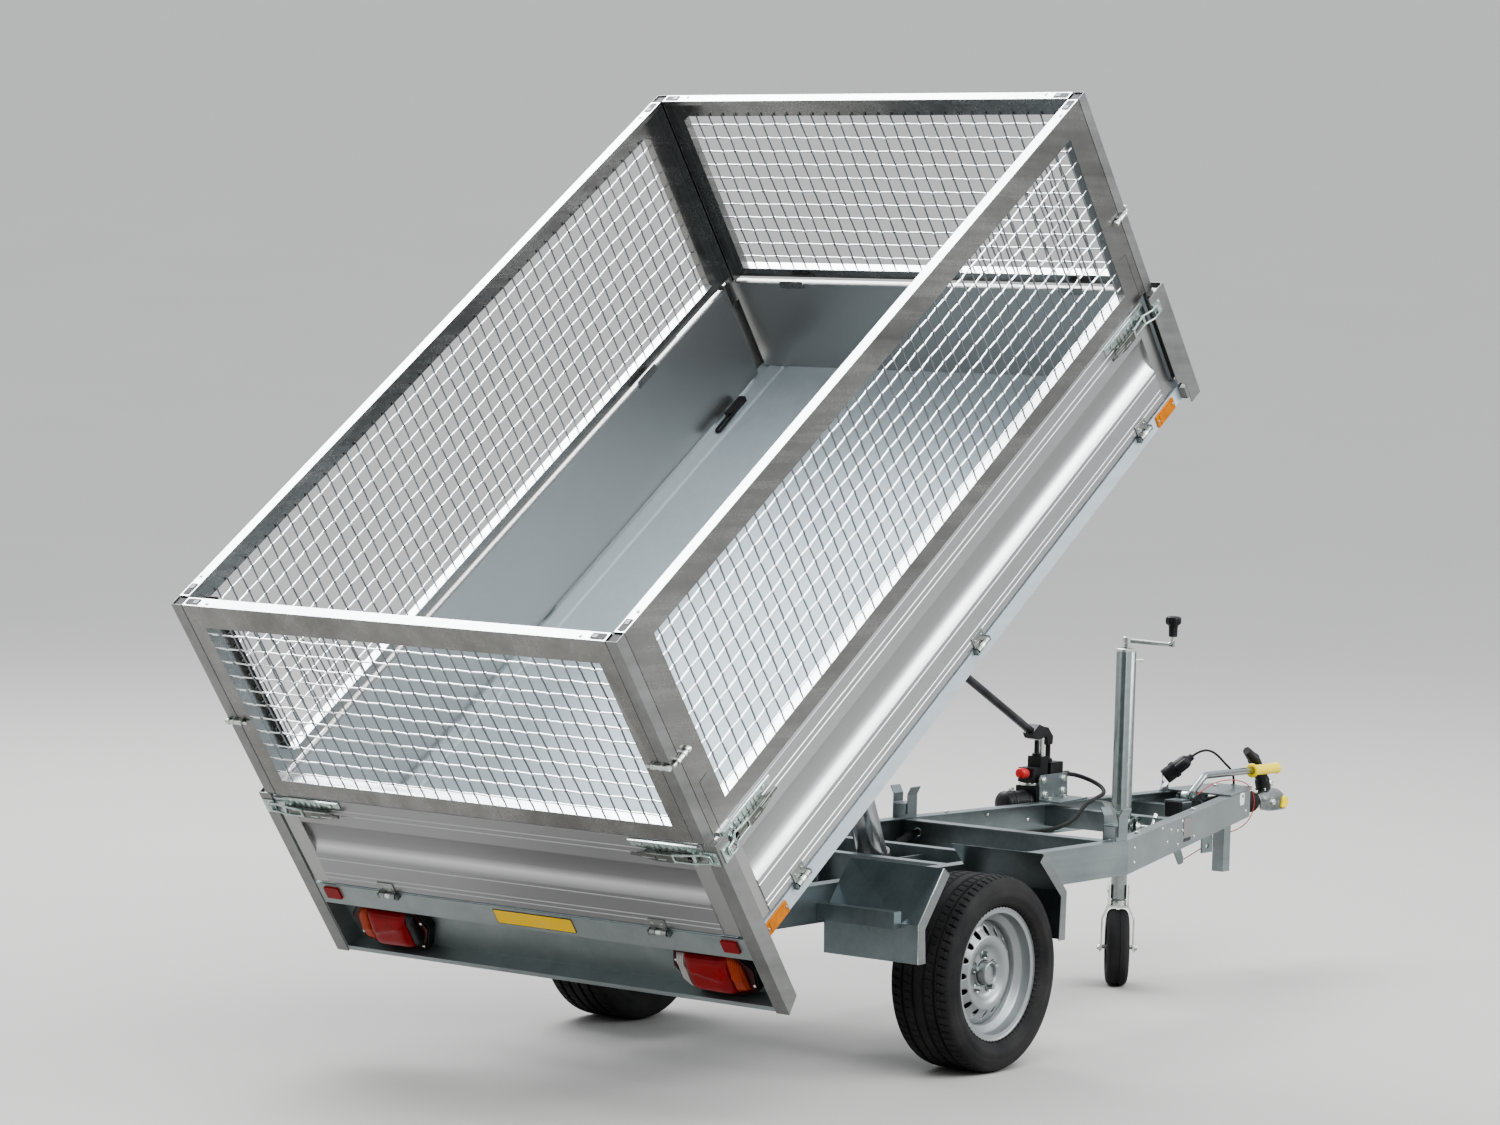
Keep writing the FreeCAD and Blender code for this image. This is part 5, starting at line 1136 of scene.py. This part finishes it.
cords = {
    "plugLead": {"node": "plug_lead", "width": 7.0, "far": "plug", "with": ["plugBody"],
        "length": 0.265, "finish": blackRubber, "slot": "black_rubber",
        "route": [(2294, -8, 556), (2294, -8, 577), (2280, -8, 603), (2244, -8, 620), (2208, -8, 644),
            (2172, -7, 663.5), (2142, -2, 672.5), (2122.6, 6.3, 671.3), (2108.2, 18.1, 663.8),
            (2100.1, 31.3, 651.1)]},
    "breakawayCable": {"node": "breakaway_cable", "width": 3.0, "far": "object", "with": [],
        "length": 0.781, "finish": redCable, "slot": "red",
        "route": [(1992, -57, 546), (2030, -57, 560), (2080, -56, 574), (2135, -56, 581),
            (2192, -56, 581), (2248, -56, 574), (2302, -56, 561), (2340, -56, 526), (2350, -54, 484),
            (2336, -46, 443), (2318, -22, 414), (2296, 8, 400), (2262, 30, 393), (2212, 31, 370),
            (2160, 31, 354), (2110, 31, 341), (2063.5, 30.5, 331)]},
    "pumpHose": {"node": "pump_hose", "width": 13.0, "far": "object", "with": [],
        "length": 1.615, "finish": blackRubber, "slot": "black_rubber",
        "route": [(1772, 296, 596), (1821, 296, 596), (1858, 258, 581), (1858, 202, 560),
            (1818, 165, 545), (1758, 150, 540), (1692, 130, 534), (1628, 112, 532), (1580, 102, 508),
            (1535, 104, 480), (1480, 122, 464), (1415, 158, 456), (1340, 205, 452), (1260, 252, 450),
            (1180, 296, 452), (1112, 326, 460), (1060, 336, 467), (1004, 334, 457), (940, 331, 439),
            (860, 330, 430), (770, 330, 428), (679, 331, 429), (588.5, 330, 428.5), (498.8, 330, 428.5)]},
}


def makeCord(name, facts):
    # a smooth spline with the route's points as its control points
    curve = bpy.data.curves.new(name, "CURVE")
    curve.dimensions = "3D"
    curve.bevel_depth = facts["width"] * 0.0005
    curve.bevel_resolution = 4
    curve.resolution_u = 8
    curve.use_fill_caps = True
    line = curve.splines.new("NURBS")
    points = onChassis(facts["route"])
    line.points.add(len(points) - 1)
    line.points.foreach_set("co", np.hstack([points, np.ones((len(points), 1))]).ravel())
    line.order_u = 4
    line.use_endpoint_u = True
    curve.materials.append(facts["finish"])
    piece = linked(name, curve)
    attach(piece, "chassis")
    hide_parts(facts["node"])
    return piece, points[0]


hoseSleeve = {"first": 16, "last": 23, "radius": 12.5, "end": 9.5}
path = bentPath(cords["pumpHose"]["route"][hoseSleeve["first"]:hoseSleeve["last"]], 40, 6)
ends = np.linspace(0, 1, len(path))
chassisPiece("hoseSleeve",
             [(blackRubber,
               [barAlong(path, np.interp(ends, [0, 0.01, 0.99, 1],
                                         [hoseSleeve[k] for k in ("end", "radius", "radius", "end")]), 18)])],
             "black_rubber")

cordStarts = {}
for name, facts in cords.items():
    piece, start = makeCord(name, facts)
    cordStarts[name] = (piece, tuple(start))
print("cords done")


# Jockey wheel

jockey = {"x": 1570.0, "y": -52.0, "top": 1018.0, "radius": 115.0, "width": 66.0, "turn": (0.35, -0.937),
          "arm": 140.0, "yaw": 35.0, "cheek": 50.0}


def swivelled(p):
    # points turned about the upright tube, then taken to the frame
    a = math.radians(jockey["yaw"])
    dx, dy = p[..., 0] - jockey["x"], p[..., 1] - jockey["y"]
    x = jockey["x"] + dx * math.cos(a) - dy * math.sin(a)
    y = jockey["y"] + dx * math.sin(a) + dy * math.cos(a)
    return onChassis(np.stack([x, y, p[..., 2]], -1))


def jockeySurfaces():
    # rings on the outer tube, crank socket and arm, pin and an eight sided knob
    j = jockey
    x, y, top = j["x"], j["y"], j["top"]
    c = (x, y, 0)
    tube = [ringTurned([(30.2, top - 9), (31.2, top - 8), (31.2, top - 0.6), (29.5, top + 0.8),
                        (26, top + 1.2), (26, top - 4)], c, (0, 0, 1), 40),
            ringTurned([(30.2, 520), (31, 520), (31, 530), (30.2, 530)], c, (0, 0, 1), 40)]
    bx, by = x + j["turn"][0] * j["arm"], y + j["turn"][1] * j["arm"]
    socket = turned([(0, top + 4), (12, top + 4), (12.5, top + 6), (11, top + 14), (13.5, top + 16),
                     (13.5, top + 34), (11.5, top + 36), (0, top + 36)], c, (0, 0, 1), 8)
    arm = barAlong(bentPath([(x, y, top + 26), (bx, by, top + 18), (bx, by, top + 54)], 16, 10), 6.4, 16,
                   up=(j["turn"][1], -j["turn"][0], 0))
    pin = turned([(0, 0), (4, 0), (4, 16), (5.5, 17), (5.5, 21), (0, 22)], (x + 20, y - 22, top - 34),
                 (0.7, -0.7, 0), 12)
    t = np.linspace(0, 2 * np.pi, 48, endpoint=False)[:, None]
    line = np.array([(7, 42), (12.2, 42.5), (13, 45), (13.6, 70), (15, 76), (21.5, 81), (23, 84), (23, 96),
                     (21.5, 100.5), (16, 103.5), (8, 104.5), (0.01, 104.6)])
    facet = 1 + 0.05 * np.cos(8 * t) * (line[None, :, 1] > 79) * (line[None, :, 0] > 10)
    r, z = line[None, :, 0] * facet, line[None, :, 1] + 0 * t
    knob = gridSurface(np.stack([bx + r * np.cos(t), by + r * np.sin(t), top + z], -1), closeU=True,
                       capU=False)
    return tube + [socket, arm, pin], [knob]


def jockeyWheelSurfaces():
    # tyre turned from half a section and its mirror image, and a hub with six ribs a side
    j = jockey
    x, y, z, w = j["x"], j["y"], j["radius"], j["width"] / 2
    r = j["radius"]
    half = [(74, w - 4), (76, w - 0.5), (82, w), (r - 20, w), (r - 12, w - 1.5), (r - 5, w - 6),
            (r - 1.2, w - 12), (r, w - 17), (r, 6), (r - 2.4, 4.5)]
    tread = half + [(q, -h) for q, h in reversed(half)]
    tyre = ringTurned(tread, (x, y, z), (0, 1, 0), 72)
    rings = [ringTurned([(88, s * (w + 0.1)), (89, s * (w + 0.9)), (91, s * (w + 0.9)), (92, s * (w + 0.1))],
                        (x, y, z), (0, 1, 0), 72) for s in (1, -1)]
    hub = []
    for s in (1, -1):
        dish = [(7, 30), (17, 30), (18, 28), (18.5, 12), (24, 9), (58, 9), (62, 12), (65, 24), (68, 27),
                (72, 27.5), (74, 26), (74, 0), (7, 0)]
        hub.append(ringTurned([(q, s * h) for q, h in dish], (x, y, z), (0, 1, 0), 64))
        for i in range(6):
            a = i * math.pi / 3
            u = np.array([math.cos(a), 0, math.sin(a)])
            v = np.array([-math.sin(a), 0, math.cos(a)])
            line = [(17, -3, 9), (64, -2.4, 9), (64, 2.4, 9), (17, 3, 9), (17, -2, 24), (62, -1.6, 20),
                    (62, 1.6, 20), (17, 2, 24)]
            p = np.array([np.array([x, y, z]) + q * u + k * v + np.array([0, s * h, 0]) for q, k, h in line])
            faces = [[3, 2, 1, 0], [4, 5, 6, 7], [0, 1, 5, 4], [1, 2, 6, 5], [2, 3, 7, 6], [3, 0, 4, 7]]
            hub.append((p, faces))
    return [tyre] + rings, hub


def forkDetails():
    # washers and nuts on the pin, a weld ring and two round heads on the stem
    x, y, z, w = jockey["x"], jockey["y"], jockey["radius"], jockey["cheek"]
    parts = [ringTurned([(16, 258), (21, 258), (17.5, 262), (16, 264)], (x, y, 0), (0, 0, 1), 32)]
    for s in (1, -1):
        parts.append(cylinder(16, w + 0.1, w + 2, (x, y, z), (0, s, 0), 24))
        parts += hexHead((x, y + s * (w + 2), z), (0, s, 0), 18, 9)
        parts.append(domeHead((x, y + s * 31, 285), (0, s, 0), 6, 4))
    return parts


metal, knob = jockeySurfaces()
chassisPiece("jockeyCrank", [(brightZinc, metal)], "zinc", angle=40)
chassisPiece("jockeyKnob", [(blackPlastic, knob)], "black_plastic", ["jockey_knob"], angle=35)
tread, hub = jockeyWheelSurfaces()
makePiece("jockeyTyre", [(blackRubber, tread)], swivelled, "jockey_wheel_body", "black_rubber",
          ["jockey_tyre"], angle=40)
makePiece("jockeyHub", [(hubPlastic, hub)], swivelled, "jockey_wheel_body", "black_plastic", ["jockey_hub"],
          bevel=0.6)
makePiece("jockeyForkDetails", [(brightZinc, forkDetails())], swivelled, "jockey_swivel_body", "zinc",
          angle=35)
clampX, clampY, clampZ = 1604, -92, 482
clampBolt = [cylinder(5.5, 0, 52, (clampX, clampY, clampZ), (0, -1, 0), 16),
             turned([(0, -46), (5, -46), (6, -44), (6, 44), (5, 46), (0, 46)], (clampX, clampY - 48, clampZ),
                    (0.5, 0, 0.87), 16)]
clampBolt += hexHead((clampX, clampY, clampZ), (0, -1, 0), 20, 9)
chassisPiece("jockeyClampBolt", [(brightZinc, clampBolt)], "zinc", angle=35)
print("jockey wheel done")


# Coupling: handle, head details, brake grip and plug

coupling = {"ballX": 2555.0, "z": 492.0, "neck": 2100.0, "grip": (2352.0, 2512.0), "gripY": -36.0}


def handleSurface():
    # bent round bar, wide and flat at its root and round at the end
    bx, z = coupling["ballX"], coupling["z"]
    path = bentPath([(bx - 64, 0, z + 34), (bx - 76, 0, z + 70), (bx - 130, 0, z + 134),
                     (bx - 176, 0, z + 164)], 40, 14)
    s = np.linspace(0, 1, len(path))
    radius = np.interp(s, [0, 0.12, 0.3, 0.55, 0.85, 0.96, 1.0], [25, 24, 22, 20, 21, 20, 13])
    return barAlong(path, radius, 20, up=(0, 1, 0), flat=0.95)


def headSurface():
    # pressed shell over the ball: across each station an ellipse from edge to edge, upright below its middle
    bx, z = coupling["ballX"], coupling["z"]
    stations = np.array([(-127, 26, 26, -26), (-108, 26.5, 27, -28), (-92, 29, 29, -31), (-66, 31, 32, -33),
                         (-36, 32, 33, -33), (-8, 32, 32, -33), (12, 30, 27, -33), (26, 26, 18, -32),
                         (35, 18, 6, -29), (40, 8, -8, -24)], float)
    s = np.linspace(0, len(stations) - 1, 60)
    x, w, top, low = (smoothed(np.interp(s, np.arange(len(stations)), c), 5)[:, None] for c in stations.T)
    a = np.linspace(0, np.pi, 25)[None]
    arch = np.stack([bx + x + 0 * a, w * np.cos(a), z + (top + 6) * np.sin(a) ** 0.9 - 6], -1)
    foot = [np.stack([bx + x, s * (w + d), z + low + h], -1) for s, d,
            h in ((1, 2, 0), (1, 0.4, 4), (-1, 0.4, 4), (-1, 2, 0))]
    return gridSurface(np.concatenate(foot[:2] + [arch] + foot[2:], 1))


def headDetails():
    # nuts, the handle's two cheeks and its pin; the ball cup and the neck; the indicator
    bx, z = coupling["ballX"], coupling["z"]
    bright = hexHead((bx - 60, -31, z - 4), (0, -1, 0), 19,
                     9) + hexHead((bx - 60, 31, z - 4), (0, 1, 0), 19, 9)
    cheek = rounded([(bx - 84, z + 30), (bx - 40, z + 38), (bx - 30, z + 58), (bx - 48, z + 62),
                     (bx - 66, z + 44), (bx - 88, z + 40)], 5, 3)
    bright += [slab(cheek, y, 4) for y in (-19, 15)]
    bright += [cylinder(6, -22, 22, (bx - 46, 0, z + 50), (0, 1, 0), 16)]
    for x in (bx - 112, bx - 128):
        bright += hexHead((x, 0, z + 25), (0, 0, 1), 16, 9)
    t = np.linspace(0, np.pi / 2, 10)
    cup = ringTurned(np.vstack([np.stack([25.1 * np.cos(t), 25.1 * np.sin(t)], 1)[:-1],
                                [(2, 25.1), (2, 27.5)], np.stack([27.5 * np.cos(t), 27.5 * np.sin(t)],
                                                                 1)[::-1][1:], [(27.5, -3), (25.1, -3)]]),
                     (bx, 0, z - 30), (0, 0, 1), 40)
    neck = cylinder(25, coupling["neck"], bx - 100, (0, 0, z), (1, 0, 0), 40)
    nose = [slab(rounded([(bx - 16, z - 24), (bx + 14, z - 27), (bx + 30, z - 12), (bx + 24, z + 4),
                          (bx + 8, z + 12), (bx - 6, z + 2)], 4, 3), -41, 16)]
    return bright, [cup, neck], nose


def gripSurface():
    # tube with a flared collar, round ribs and a closed round end
    x0, x1 = coupling["grip"]
    y, z = coupling["gripY"], coupling["z"] + 105.2
    s = np.linspace(0, 1, 90)
    radius = 16.2 + 0.5 * np.cos(s * 2 * np.pi * 12) * ((s > 0.14) & (s < 0.9))
    radius = radius + 6.5 * np.exp(-((s - 0.03) / 0.03) ** 2) + 2.5 * np.exp(-((s - 0.95) / 0.03) ** 2)
    radius = radius * np.sqrt(np.clip(1 - np.clip((s - 0.965) / 0.036, 0, 1) ** 2, 0.02, 1))
    profile = np.stack([radius, s * (x1 - x0)], 1)
    line = np.vstack([[(11.4, 2.0)], profile, [(0.0, x1 - x0)]])
    return turned(line, (x0, y, z), (1, 0, -0.0075), 36)


def plugSurfaces():
    # round plug with a ribbed ring, a side lobe and a neck; its mouth has a socket face
    face = np.array([2058.0, 100.0, 585.0])
    axis = np.array([0.405, -0.661, 0.636])
    axis /= np.linalg.norm(axis)
    r = 24.0
    body = turned([(0, 12), (18, 12), (18.5, 0.6), (19.5, 0), (23, 0), (r, 1.2), (r, 30), (r + 1.4, 31),
                   (r + 1.4, 46), (r - 2, 48), (r - 2.4, 78), (r - 6, 88), (13, 92), (11.5, 96), (10.5, 106),
                   (7, 108), (0, 108)], face, axis, 48)
    side = np.cross(axis, (0, 0, 1))
    side /= np.linalg.norm(side)
    up = np.cross(side, axis)
    ribs = []
    for a in np.linspace(0, 2 * np.pi, 24, endpoint=False):
        d = math.cos(a) * side + math.sin(a) * up
        p = face + axis * 38.5 + d * (r + 1.2)
        ribs.append(barAlong(np.array([p - axis * 6.5, p, p + axis * 6.5]), 1.4, 6, up=tuple(d)))
    rings = [ringTurned([(r - 1, s), (r + 0.9, s + 0.8), (r + 0.9, s + 2.4), (r - 1, s + 3.2)], face, axis,
                        40) for s in (10, 17, 24)]
    lobe = turned([(0, 44), (10, 44), (12.5, 46.5), (13, 60), (12.5, 80), (10, 87), (5, 90), (0, 90)],
                  face + side * 17, axis, 28)
    neck = [ringTurned([(6.5, s), (8.6, s + 1), (8.6, s + 2.5), (6.5, s + 3.5)], face, axis,
                       24) for s in (95, 100, 105)]
    socket = cylinder(17.6, 11.0, 12.5, face, axis, 32)
    pins = [turned([(0, 4), (1.6, 4), (2, 5), (2, 12), (0, 12)],
                   face + 12 * (math.cos(a) * side + math.sin(a) * up), axis,
                   8) for a in np.linspace(0, 2 * np.pi, 8, endpoint=False)]
    return [body, lobe] + ribs + rings + neck, [socket], pins


chassisPiece("couplingLever", [(blackPlastic, [handleSurface()])], "black_plastic", ["coupling_handle"],
             angle=60)
bright, cup, nose = headDetails()
chassisPiece("couplingShell", [(headZinc, [headSurface()])], "zinc", ["coupling_head"], angle=60, wall=3.5)
chassisPiece("couplingNeck", [(tubeZinc, cup)], "zinc", ["coupling_head"], angle=50)
chassisPiece("couplingParts", [(brightZinc, bright), (yellowPlastic, nose)], "zinc", bevel=0.6)
chassisPiece("brakeGrip", [(yellowPlastic, [gripSurface()])], "yellow", ["handbrake_grip"], angle=60)
shell, socket, pins = plugSurfaces()
chassisPiece("plugBody", [(blackPlastic, shell), (maroonPlastic, socket), (brightZinc, pins)],
             "black_plastic", ["plug"], angle=40)
print("coupling done")


# Drawbar: bolts, slots, tag and end cap

drawbar = {"kinkX": 1070.0, "kinkY": 395.0, "long": 1210.0, "narrowing": 317.0, "deck": 510.0, "rise": 37.0}


def webY(x):
    # outer face of the beams along the drawbar
    return drawbar["kinkY"] - max(x - drawbar["kinkX"], 0) * drawbar["narrowing"] / drawbar["long"]


def deckZ(x):
    # upper face of the beams, rising evenly from the kink
    return drawbar["deck"] + max(x - drawbar["kinkX"], 0) * drawbar["rise"] / drawbar["long"]


slant = math.atan2(drawbar["narrowing"], drawbar["long"])
heads, blackBits, whiteBits, plateBits = [], [], [], []
for s in (1, -1):
    out = (math.sin(slant), s * math.cos(slant), 0)
    spots = [(1130, -30), (1130, -72), (1389, -8), (1439, -54), (1474, -23), (1537, -34), (1542, -75),
             (1583, -11), (1586, -39), (1702, -72), (2236, -62)]
    heads += [domeHead((x, s * (webY(x) + 0.2), deckZ(x) + dz), out, 4.8, 2.8) for x, dz in spots]
    heads += [domeHead((x, s * (webY(x) - 4.5), z), (-out[0], -out[1], 0), 6.5, 3.6)
              for x, z in ((1385, 498), (1543, 474), (1666, 470))]
    for x in (1210, 1750):
        heads += hexHead((x, s * (webY(x) - 22), deckZ(x) + 0.2), (0, 0, 1), 13, 6)
    for x in (-700, -120, 620):
        heads += hexHead((x, s * 395.2, 460), (0, s, 0), 15, 8)


def onWeb(x, dz, width, height, thick, s=-1):
    # rounded plate on a beam's web, square to it
    n = np.array([math.sin(slant), s * math.cos(slant), 0])
    u = np.array([math.cos(slant), -s * math.sin(slant), 0])
    c = np.array([x, s * webY(x), deckZ(x) + dz]) + n * 0.3
    outline = rounded([(-width / 2, -height / 2), (width / 2, -height / 2), (width / 2, height / 2),
                       (-width / 2, height / 2)], 0.3 * min(width, height), 4)
    k = len(outline)
    p = np.zeros((2, k, 3))
    for i, off in enumerate((0.0, thick)):
        p[i] = c + outline[:, :1] * u + outline[:, 1:] * np.array([0, 0, 1.0]) + n * off
    return gridSurface(p, closeV=True, capU=True)


blackBits.append(onWeb(1632, -72, 70, 10, 0.5))
plateBits.append(onWeb(1634, -34, 80, 56, 0.9))
whiteBits.append(onWeb(2190, -20, 50, 38, 1.0))
blackBits.append(onWeb(2196, -12, 13, 10, 1.4))
for x, y in ((1983, -5), (2240, 24)):
    heads += hexHead((x, y, deckZ(x) + 2), (0, 0, 1), 18, 10)
blackBits.append(roundPlate(-71, -22, 488, 534, 3, 3, 1868, 20, 0))
chassisPiece("drawbarBolts", [(brightZinc, heads)], "zinc", angle=30)
chassisPiece("drawbarBlackParts", [(blackPlastic, blackBits)], "black_plastic", bevel=0.3)
chassisPiece("tagAndPlate", [(labelWhite, whiteBits), (plateGrey, plateBits)])
stub = [roundPlate(-69, -24, 490, 532, 4, 3, 1886, 59.6, 0)]
chassisPiece("squareStub", [(chassisZinc, stub)], "galvanised")
print("drawbar done")


# Hand pump details

pump = {"x": 1640.0}
riserY = webY(1600) + 8
pumpY = riserY + 4.3 + 42
pumpZ = deckZ(1600) + 0.3
bright, black, red = [], [], []
c = (pump["x"] - 20, pumpY, pumpZ)
bright.append(ringTurned([(30, 45), (36, 45), (37, 46.5), (37, 52), (36, 53.5), (30, 53.5)], c, (0, 0, 1),
                         40))
bright += [cylinder(8.4, 132, 190, (pump["x"] + 34, pumpY, pumpZ), (0, 0, 1), 18)]
for dx, z0, z1 in ((8, 132, 140), (70, 112, 121)):
    black.append(ringTurned([(8, z0), (13, z0), (14, z0 + 1), (14, z1), (12, z1 + 2), (8, z1 + 2)],
                            (pump["x"] + dx, pumpY, pumpZ), (0, 0, 1), 24))
k = (pump["x"] - 52, pumpY - 6, pumpZ + 82)
red.append(turned([(0, 0.5), (12, 0.5), (12.5, 4), (14.5, 5), (15.5, 8), (16.5, 26), (16.8, 36), (15.5, 41),
                   (12, 44), (0, 45)], k, (-1, 0, 0.12), 14))
x0, x1 = 1600.0, 1752.0
for x, z in ((x0 + 22, 590), (x1 - 22, 590), (x0 + 30, deckZ(x0) + 20), (x1 - 22, deckZ(x1) + 22)):
    bright += hexHead((x, riserY, z), (0, -1, 0), 15, 8)
for x in (x0 + 30, x1 - 40):
    bright += hexHead((x, riserY - 16, deckZ(x) + 4.4), (0, 0, 1), 14, 7)
tankWay = 92 * (drawbar["narrowing"] / drawbar["long"])
tank = (pump["x"] - 130, pumpY + tankWay, pumpZ - 8)
direction = np.array([92.0, -tankWay, 0])
direction /= np.linalg.norm(direction)
black.append(turned([(0, -16), (14, -15), (28, -11), (36, -4), (39, 0), (39.4, 6), (38.6, 8)], tank,
                    direction, 40))
black += [ringTurned([(38, s), (39.6, s + 1), (39.6, s + 5), (38, s + 6)], tank, direction,
                     40) for s in (24, 76)]
bright += hexHead((pump["x"] - 95, pumpY + 20, pumpZ + 31), (0, 0, 1), 16, 10)
sleeve = np.array(cords["pumpHose"]["route"][0], float)
bright.append(turned([(0, -24), (10.5, -24), (10.5, -10), (8.6, -9), (8.6, 4), (0, 4)], sleeve, (1, 0, 0), 6))
black.append(turned([(0, 2), (9, 2), (9.6, 4), (9.6, 30), (8.4, 34), (0, 34)], sleeve, (1, 0, 0), 24))
chassisPiece("pumpBrightParts", [(brightZinc, bright)], "zinc", angle=30)
chassisPiece("pumpBlackParts", [(blackSteel, black)], "black_steel", angle=40)
chassisPiece("pumpKnob", [(redPlastic, red)], "red", ["pump_valve"], bevel=0.8, angle=25)
print("pump done")


# Camera, floor and light

view = {"place": (-9.8004, -7.23, 2.0017), "yaw": 0.6479, "pitch": -0.0564, "roll": 0.028, "focal": 4469.4,
        "frame": 1500.0}


def makeCamera():
    yaw, pitch, roll = view["yaw"], view["pitch"], view["roll"]
    ahead = Vector((math.cos(yaw) * math.cos(pitch), math.sin(yaw) * math.cos(pitch), math.sin(pitch)))
    right = ahead.cross(Vector((0, 0, 1))).normalized()
    up = right.cross(ahead)
    right2 = math.cos(roll) * right + math.sin(roll) * up
    up2 = math.cos(roll) * up - math.sin(roll) * right
    data = bpy.data.cameras.new("camera")
    data.sensor_width = 36.0
    data.lens = view["focal"] * data.sensor_width / view["frame"]
    data.clip_end = 200.0
    camera = linked("camera", data)
    x, y, z = view["place"]
    camera.matrix_world = Matrix.Translation((x + axleX, y,
                                              z)) @ Matrix((right2, up2, -ahead)).transposed().to_4x4()
    bpy.context.scene.camera = camera
    bpy.context.scene.view_settings.look = "AgX - Medium High Contrast"


stage = {"flat": 15.0, "reach": 70.0, "rise": 9.0, "around": 64, "tone": (0.45, 0.44, 0.42)}


def makeFloor():
    # level out to a wide ring, then rising gently, so that no horizon shows
    r = np.concatenate([[0.02, 1.0, 2.0], np.linspace(4, stage["reach"], 40)])[:, None]
    t = np.linspace(0, 2 * np.pi, stage["around"], endpoint=False)[None]
    z = stage["rise"] * eased((r - stage["flat"]) / (stage["reach"] - stage["flat"])) + 0 * t
    p = np.stack([r * np.cos(t), r * np.sin(t), z], -1)
    points, faces = gridSurface(p, closeV=True)
    faces.append(list(range(stage["around"])))
    mesh = bpy.data.meshes.new("floor")
    mesh.from_pydata(points.tolist(), [], faces)
    mesh.shade_smooth()
    floor = linked("floor", mesh)
    f = Finish("pale floor")
    tone = stage["tone"]
    colour = f.blend(f.noise(f.where(), 0.8), tuple(0.96 * c for c in tone), tone)
    mesh.materials.append(f.set(colour=colour, rough=0.8))
    floor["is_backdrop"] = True


# Share of the height from below (0) to above (1), and the brightness there
sky = [(0.0, (0.20, 0.20, 0.19)), (0.48, (0.22, 0.215, 0.21)), (0.54, (0.30, 0.30, 0.30)),
       (0.62, (0.85, 0.87, 0.89)), (0.80, (1.15, 1.19, 1.24)), (1.0, (1.3, 1.35, 1.4))]
panels = [("rear panel", (-3.0, -5.5, 8.0), (9.0, 6.0), 650.0),
          ("far panel", (2.2, 6.0, 8.2), (7.0, 5.0), 900.0),
          ("side panel", (7.4, -12.3, 7.0), (8.0, 5.0), 1000.0)]


def makeLight():
    world = bpy.data.worlds.new("studio")
    bpy.context.scene.world = world
    world.use_nodes = True
    tree = world.node_tree
    spot = tree.nodes.new("ShaderNodeTexCoord")
    parts = tree.nodes.new("ShaderNodeSeparateXYZ")
    ramp = tree.nodes.new("ShaderNodeValToRGB")
    half = tree.nodes.new("ShaderNodeMapRange")
    half.inputs["From Min"].default_value = -1.0
    tree.links.new(spot.outputs["Generated"], parts.inputs[0])
    tree.links.new(parts.outputs["Z"], half.inputs["Value"])
    tree.links.new(half.outputs[0], ramp.inputs[0])
    fillStops(ramp, sky)
    back = tree.nodes["Background"]
    tree.links.new(ramp.outputs[0], back.inputs["Color"])
    back.inputs["Strength"].default_value = 1.0
    for name, spot, size, energy in panels:
        lamp = bpy.data.lights.new(name, "AREA")
        lamp.shape, lamp.size, lamp.size_y = "RECTANGLE", size[0], size[1]
        lamp.energy = energy
        lamp.color = (0.97, 0.985, 1.0)
        holder = linked(name, lamp)
        holder.location = spot
        holder.rotation_euler = (Vector((0.2, 0.0, 1.0)) - holder.location).to_track_quat("-Z",
                                                                                          "Y").to_euler()


for name, (piece, start) in cordStarts.items():
    facts = cords[name]
    facts["width"] * 0.001
makeCamera()
makeFloor()
makeLight()
low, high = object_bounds()
